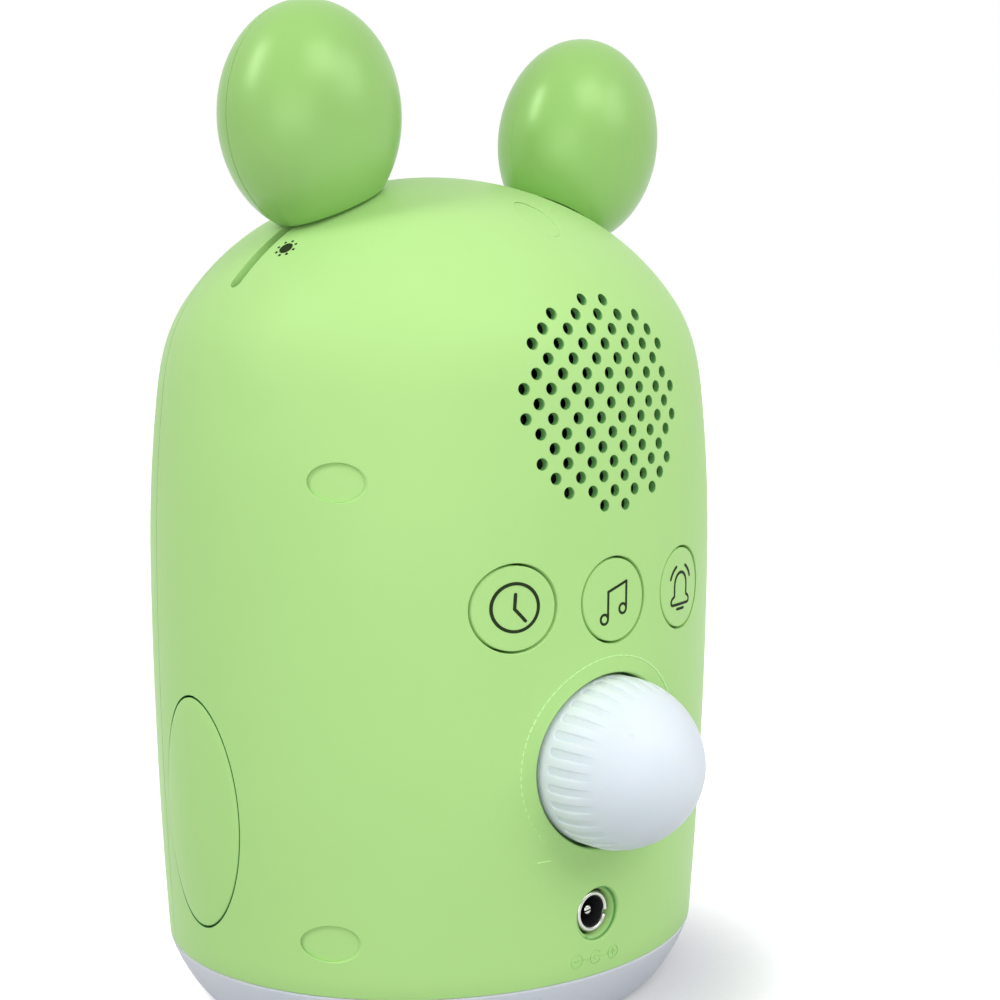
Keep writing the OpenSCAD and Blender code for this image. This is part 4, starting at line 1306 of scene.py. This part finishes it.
@dataclass
class PowerInlet:
    """Barrel socket with its metal ring and split pin, and a raised polarity sign under it."""

    controls: Controls = field(default_factory=Controls)
    ring_y: tuple[float, float] = (39.5, 50.05)
    ring_r: tuple[float, float] = (4.0, 3.0)
    notch_w: float = 0.9
    notch_deg: float = 192.0
    pin_y: tuple[float, float] = (38.0, 48.9)
    slit_w: float = 0.28
    slit_deg: float = 10.0
    sign_at: tuple[float, float] = (1.9, 15.2)
    sign_step: float = 4.6
    sign_r: float = 1.35

    def ring(self) -> bpy.types.Object:
        """Metal ring with a rounded lip, and a notch in it."""
        low, high = self.ring_y
        outer, inner = self.ring_r
        depth = high - low
        lip = quarter(0.5, 0.5, 0, 90, 7, (outer - 0.5, depth - 0.5))
        bore = quarter(0.45, 0.45, 90, 180, 5, (inner + 0.45, depth - 0.45))
        blank = Blank.turned([(inner, 0), (outer, 0), *lip, *bore], 96, closed=True)
        notch = Blank.block((0, -self.notch_w / 2, depth - 0.8), (outer + 1, self.notch_w / 2, depth + 1))
        notch.moved(Matrix.Rotation(math.radians(-self.notch_deg), 4, "Z"))
        blank.cut(Cut.TAKE, notch).moved(rearwards(self.controls.jack, low))
        return publish(blank, "inlet_ring", Finish.NICKEL, replaces=["jack_barrel"])

    def lining(self) -> bpy.types.Object:
        """Black sleeve inside the ring."""
        low, high = self.ring_y
        inner = self.ring_r[1]
        depth = high - low - 0.5
        bore, outer = inner - 0.15, inner - 0.01
        profile = [(bore, 0), (outer, 0), (outer, depth), (bore + 0.1, depth), (bore, depth - 0.3)]
        blank = Blank.turned(profile, 72, closed=True).moved(rearwards(self.controls.jack, low))
        return publish(blank, "inlet_lining", Finish.BLACK_NYLON)

    def pin(self) -> bpy.types.Object:
        """Split centre pin with a flattened round tip."""
        low, high = self.pin_y
        depth = high - low
        tip = quarter(0.55, 0.45, 0, 80, 6, (0.45, depth - 0.5))
        blank = Blank.turned([(0, 0), (1.0, 0), *tip, (0, depth)], 48)
        slit = Blank.block((-2, -self.slit_w / 2, depth - 2.4), (2, self.slit_w / 2, depth + 1))
        blank.cut(Cut.TAKE, slit.moved(Matrix.Rotation(math.radians(self.slit_deg), 4, "Z")))
        blank.moved(rearwards(self.controls.jack, low))
        return publish(blank, "inlet_pin", Finish.NICKEL, replaces=["jack_pin"])

    def sign(self) -> bpy.types.Object:
        """Raised sign of a positive centre pin: minus, open ring round a dot, plus."""
        line, rise = 0.26, 0.12
        x, z = self.sign_at
        step = self.sign_step
        blanks = [
            Blank.arc_bar(self.sign_r, gap, 360.0 - gap, line, rise).laid(Lay(Side.REAR, x + across, z))
            for across, gap in ((step, 0.0), (0.0, 30.0), (-step, 0.0))
        ]
        blanks.append(lid(0.45, 0.1, 20, 0.3).laid(Lay(Side.REAR, x, z, floor=50.0, form=DOME.sunk(-rise))))
        signs = [(step, 0, 1.5), (-step, 0, 1.5), (-step, 90, 1.5)]
        leads = [(2.3, 0, 1.9), (-1.6, 0, 3.2)]
        for across, turn, length in signs + leads:
            blanks.append(Blank.bar(length, line, rise).laid(Lay(Side.REAR, x + across, z, turn=turn)))
        return publish(Blank().joined(blanks), "polarity_sign", Finish.GREEN_ABS)

    def build(self) -> None:
        """Builds the inlet."""
        self.ring()
        self.lining()
        self.pin()
        self.sign()


@dataclass
class Ears:
    """The two round ears, each in two halves. The seam of the still ear is glued shut."""

    pivot: Pivot = field(default_factory=Pivot)
    radii: tuple[float, float, float] = (18.3, 15.2, 21.4)
    at: tuple[float, float, float] = (27.7, 0.0, 65.2)
    lean: float = 3.7
    foot_r: float = 55.25
    seam_gap: float = 0.06
    edge: float = 0.22
    glued_gap: float = 0.01
    glued_edge: float = 0.03

    @property
    def place(self) -> Matrix:
        """Frame of the sliding ear."""
        lean = Matrix.Rotation(math.radians(self.lean), 4, "Y")
        return self.pivot.frame @ Matrix.Translation(self.at) @ lean

    def half(self, rear: bool, gap: float, edge_r: float) -> Blank:
        """One half of the sliding ear.

        Args:
            rear: whether it is the half towards the controls.
            gap: how far it stays off the middle of the seam.
            edge_r: rounding of its edge at the seam.

        Returns:
            The half, cut to the dome.
        """
        rx, ry, rz = self.radii
        sign = 1 if rear else -1
        cut = sign * self.pivot.slot_v + gap
        low = math.asin((cut + edge_r) / ry)
        arc = [(math.cos(a), math.sin(a)) for a in np.linspace(low, math.pi / 2, 64)]
        reach = math.sqrt(1 - (cut / ry) ** 2)
        edge = [
            (reach - edge_r / rx * (1 - math.sin(a)), (cut + edge_r * (1 - math.cos(a))) / ry)
            for a in np.linspace(0, math.pi / 2, 5)[:-1]
        ]
        profile = [(0, cut / ry), *edge, *arc[:-1], (0, 1)]
        blank = Blank.turned(profile, 192)
        axes = Matrix(((rx, 0, 0, 0), (0, 0, sign * ry, 0), (0, sign * -rz, 0, 0), (0, 0, 0, 1)))
        blank.moved(self.place @ axes)
        return blank.cut(Cut.TAKE, Blank.ball(self.pivot.frame.translation, self.foot_r, 128))

    def build(self) -> None:
        """Builds the four halves."""
        mirror = Matrix.Diagonal((-1.0, 1.0, 1.0, 1.0))
        for rear, end in ((True, "rear"), (False, "front")):
            # The ears take the darker copy of the green ABS: painted shade.
            publish(
                self.half(rear, self.seam_gap, self.edge),
                f"sliding_ear_{end}", Finish.EAR_ABS, "dimmer_ear", [f"dimmer_ear_{end}"],
                [Ellipsoid(self.radii, self.place)],
            )
            publish(
                self.half(rear, self.glued_gap, self.glued_edge).moved(mirror),
                f"still_ear_{end}", Finish.EAR_ABS, "root", [f"fixed_ear_{end}"],
                [Ellipsoid(self.radii, mirror @ self.place)],
            )


@dataclass
class DisplayWindow:
    """Pane of the display, which follows the dome in front and is flat at the level back_y behind."""

    body: Body = field(default_factory=Body)
    sink: float = 0.3
    thick: float = 2.2
    slack: float = 0.02
    back_y: float = 20.0

    def build(self) -> None:
        """Builds the pane."""
        form = DOME.sunk(self.sink)
        outer = DOME.section(self.sink, 3.0, 1.5)
        inner = DOME.section(self.sink + self.thick, 6.0, 3.0)
        blank = self.body.squeezed(Blank.turned([*outer, *reversed(inner)], 320).capped())
        blank.cut(Cut.KEEP, self.body.window_tool(-self.slack, 0.01, self.back_y))
        publish(
            blank, "display_pane", Finish.PANEL_PC, replaces=["front_panel"],
            forms=[form],
        )


@dataclass
class NightLight:
    """Frosted base ring of the night light, and the feet under it."""

    rim_r: float = 57.283
    foot_r: float = 51.0
    low_z: float = 1.0
    high_z: float = 11.5
    wall: float = 2.2
    feet: tuple[tuple[float, float], ...] = ((33, 17), (-33, 17), (33, -17), (-33, -17))

    def bulge(self, share: float) -> tuple[float, float]:
        """Point of the ring's outer side at a share of its height."""
        reach = (1 - (1 - share) ** 1.2) ** (1 / 1.2)
        return self.foot_r + (self.rim_r - self.foot_r) * reach, self.low_z + (self.high_z - self.low_z) * share

    def build(self) -> None:
        """Builds the ring and the feet."""
        side = [self.bulge(s) for s in [*np.linspace(0.0, 0.2, 12), *np.linspace(0.24, 0.975, 22)]]
        edge = quarter(0.3, 0.3, 0, 90, 3, (side[-1][0] - 0.3, self.high_z - 0.3))
        lip, top = self.rim_r - DOME.wall - 0.15, self.high_z
        profile = [
            (self.foot_r - self.wall, self.low_z), (self.foot_r - 0.4, self.low_z), *side[1:], *edge[1:],
            (lip, top), (lip, top + 3.5), (lip - 1.6, top + 3.5), (lip - 1.6, top - 1.5),
        ]
        blank = Blank.turned(profile, 320, closed=True).moved(Matrix.Diagonal((1.0, DOME.ratio, 1.0, 1.0)))
        publish(
            blank, "night_light_ring", Finish.FROSTED_PC, replaces=["base_ring"],
            sharp_deg=40.0,
        )
        foot = [(0, 0), (4.4, 0), *quarter(0.9, 0.6, -90, 0, 4, (4.6, 0.6)), (5.5, 2.0), (0, 2.0)]
        feet = [Blank.turned(foot, 48).moved(Matrix.Translation((x, y, 0))) for x, y in self.feet]
        publish(Blank().joined(feet), "foot_pads", Finish.RUBBER, replaces=["rubber_feet"])


SLOT_FINISH: dict[str, Finish] = {
    "green_plastic": Finish.INNER_ABS,
    "white_plastic": Finish.PLAIN_ABS,
    "translucent_white": Finish.FROSTED_PC,
    "black_plastic": Finish.BLACK_NYLON,
    "ink": Finish.INK,
    "lit_digits": Finish.LIT,
    "steel": Finish.ZINC,
    "nickel": Finish.NICKEL,
    "magnet": Finish.FERRITE,
    "circuit_board": Finish.BOARD,
    "speaker_paper": Finish.PAPER,
    "foam": Finish.FOAM,
    "foot_rubber": Finish.RUBBER,
    "wire_insulation": Finish.VINYL,
    "ribbon": Finish.RIBBON,
}


def dress_nodes() -> None:
    """Gives every CAD node that still shows the finish of its material slot."""
    slots = {part["node"]: part["material_slot"] for part in frame["record"]["subparts"]}
    for name, node in frame["nodes"].items():
        if node.hide_render:
            continue
        finish = SLOT_FINISH[slots[name]]
        if not node.material_slots:
            node.data.materials.append(finish.material)
        for place in node.material_slots:
            place.material = finish.material
        log.info("%s: dressed in %s", name, finish.value.name)


@dataclass(frozen=True)
class Lamp:
    """Soft rectangular lamp that faces the clock. Its place and size are in millimetres."""

    name: str
    at: tuple[float, float, float]
    size: tuple[float, float]
    watts: float

    def make(self, target: Vector) -> None:
        """Adds the lamp, turned to a point in metres."""
        data = bpy.data.lights.new(self.name, "AREA")
        data.shape = "RECTANGLE"
        data.size, data.size_y = self.size[0] * MM, self.size[1] * MM
        data.energy = self.watts
        lamp = bpy.data.objects.new(self.name, data)
        bpy.context.scene.collection.objects.link(lamp)
        place = Vector(self.at) * MM
        lamp.location = place
        lamp.rotation_euler = (target - place).to_track_quat("-Z", "Y").to_euler()


@dataclass
class Studio:
    """Pale floor, soft lamps and the camera.

    The floor shows the lamps' real shadow in its plain part and a painted shadow in its glow: the glow dims at a
    point as more of the clock stands within shadow_mm of it, in the half of the room that shadow_lean points to.
    """

    camera_at: tuple[float, float, float] = (223.45, 275.54, 132.1)
    target: tuple[float, float, float] = (0.0, 0.0, 91.5)
    lens: float = 61.63
    shift: tuple[float, float] = (0.066, 0.033)
    floor_half: float = 6000.0
    floor_colour: str = "#bfc0c2"
    floor_glow: float = 1.0
    shadow_mm: float = 32.0
    shadow_depth: float = 1.7
    shadow_lean: tuple[float, float, float] = (0.45, -0.87, 0.2)
    surround: float = 0.5
    lit_at: tuple[float, float, float] = (0.0, 0.0, 90.0)
    lamps: tuple[Lamp, ...] = (
        Lamp("side box", (521, -73, 532), (140, 340), 1.66),
        Lamp("rear box", (35, 497, 568), (300, 300), 1.34),
        Lamp("rear fill", (420, 500, 150), (500, 300), 1.01),
        Lamp("far box", (-300, 600, 480), (350, 350), 1.21),
    )

    def floor(self) -> None:
        """Pale floor that shows white to the camera, keeps the lamps' real shadow and has a painted shadow in its
        glow.
        """
        blank = Blank()
        bmesh.ops.create_grid(blank.bm, x_segments=8, y_segments=8, size=self.floor_half * MM)
        mesh = bpy.data.meshes.new("floor")
        blank.bm.to_mesh(mesh)
        graph = Graph("paper floor")
        plain = graph.add("BsdfDiffuse", Color=linear(self.floor_colour))
        lean = graph.add("CombineXYZ", **dict(zip("XYZ", self.shadow_lean)))
        # Painted shadow: the glow dims where the clock stands close on the side that shadow_lean points to.
        near = graph.add(
            "AmbientOcclusion", {"samples": 16}, Distance=self.shadow_mm * MM, Normal=lean.outputs[0]
        )
        share = graph.add("Math", {"operation": "POWER"}, nr_0=near.outputs["AO"], nr_1=self.shadow_depth)
        level = graph.add("Math", {"operation": "MULTIPLY"}, nr_0=share.outputs[0], nr_1=self.floor_glow)
        glow = graph.add("Emission", Color=(1.0, 1.0, 1.0, 1.0), Strength=level.outputs[0])
        both = graph.add("AddShader", nr_0=plain.outputs[0], nr_1=glow.outputs[0])
        mixed = graph.add("MixShader", Fac=self.seen(graph), nr_1=plain.outputs[0], nr_2=both.outputs[0])
        mesh.materials.append(graph.finish(mixed))
        floor = bpy.data.objects.new("floor", mesh)
        bpy.context.scene.collection.objects.link(floor)

    def seen(self, graph: Graph) -> bpy.types.NodeSocket:
        """One for a ray from the camera, off a glossy face or through a clear one."""
        ray = graph.add("LightPath").outputs
        seen = ray["Is Camera Ray"]
        for other in ("Is Glossy Ray", "Is Transmission Ray"):
            seen = graph.add("Math", {"operation": "MAXIMUM"}, nr_0=seen, nr_1=ray[other]).outputs[0]
        return seen

    def world(self) -> None:
        """Even white surround."""
        graph = Graph("surround", world=True)
        soft = graph.add("Background", Color=linear("#eef1f5"), Strength=self.surround)
        bright = graph.add("Background", Color=(1.0, 1.0, 1.0, 1.0), Strength=1.0)
        mixed = graph.add("MixShader", Fac=self.seen(graph), nr_1=soft.outputs[0], nr_2=bright.outputs[0])
        bpy.context.scene.world = graph.finish(mixed)

    def camera(self) -> None:
        """Camera at the viewing angle, with no depth of field."""
        data = bpy.data.cameras.new("camera")
        data.sensor_width, data.lens = 36.0, self.lens
        data.shift_x, data.shift_y = self.shift
        data.clip_start, data.clip_end = 0.01, 20.0
        camera = bpy.data.objects.new("camera", data)
        bpy.context.scene.collection.objects.link(camera)
        place = Vector(self.camera_at) * MM
        camera.location = place
        camera.rotation_euler = (Vector(self.target) * MM - place).to_track_quat("-Z", "Y").to_euler()
        bpy.context.scene.camera = camera

    def build(self) -> None:
        """Builds the studio."""
        bpy.context.scene.view_settings.view_transform = "Standard"
        self.camera()
        self.floor()
        self.world()
        for lamp in self.lamps:
            lamp.make(Vector(self.lit_at) * MM)


def main() -> None:
    """Builds everything in order."""
    logging.basicConfig(level=logging.INFO, format="%(name)s %(message)s")
    Studio().build()
    body = Body()
    for assembly in (body, Keys(), VolumeControl(), PowerInlet(), Ears(), DisplayWindow(body), NightLight()):
        assembly.build()
    dress_nodes()


if __name__ == "__main__":
    main()
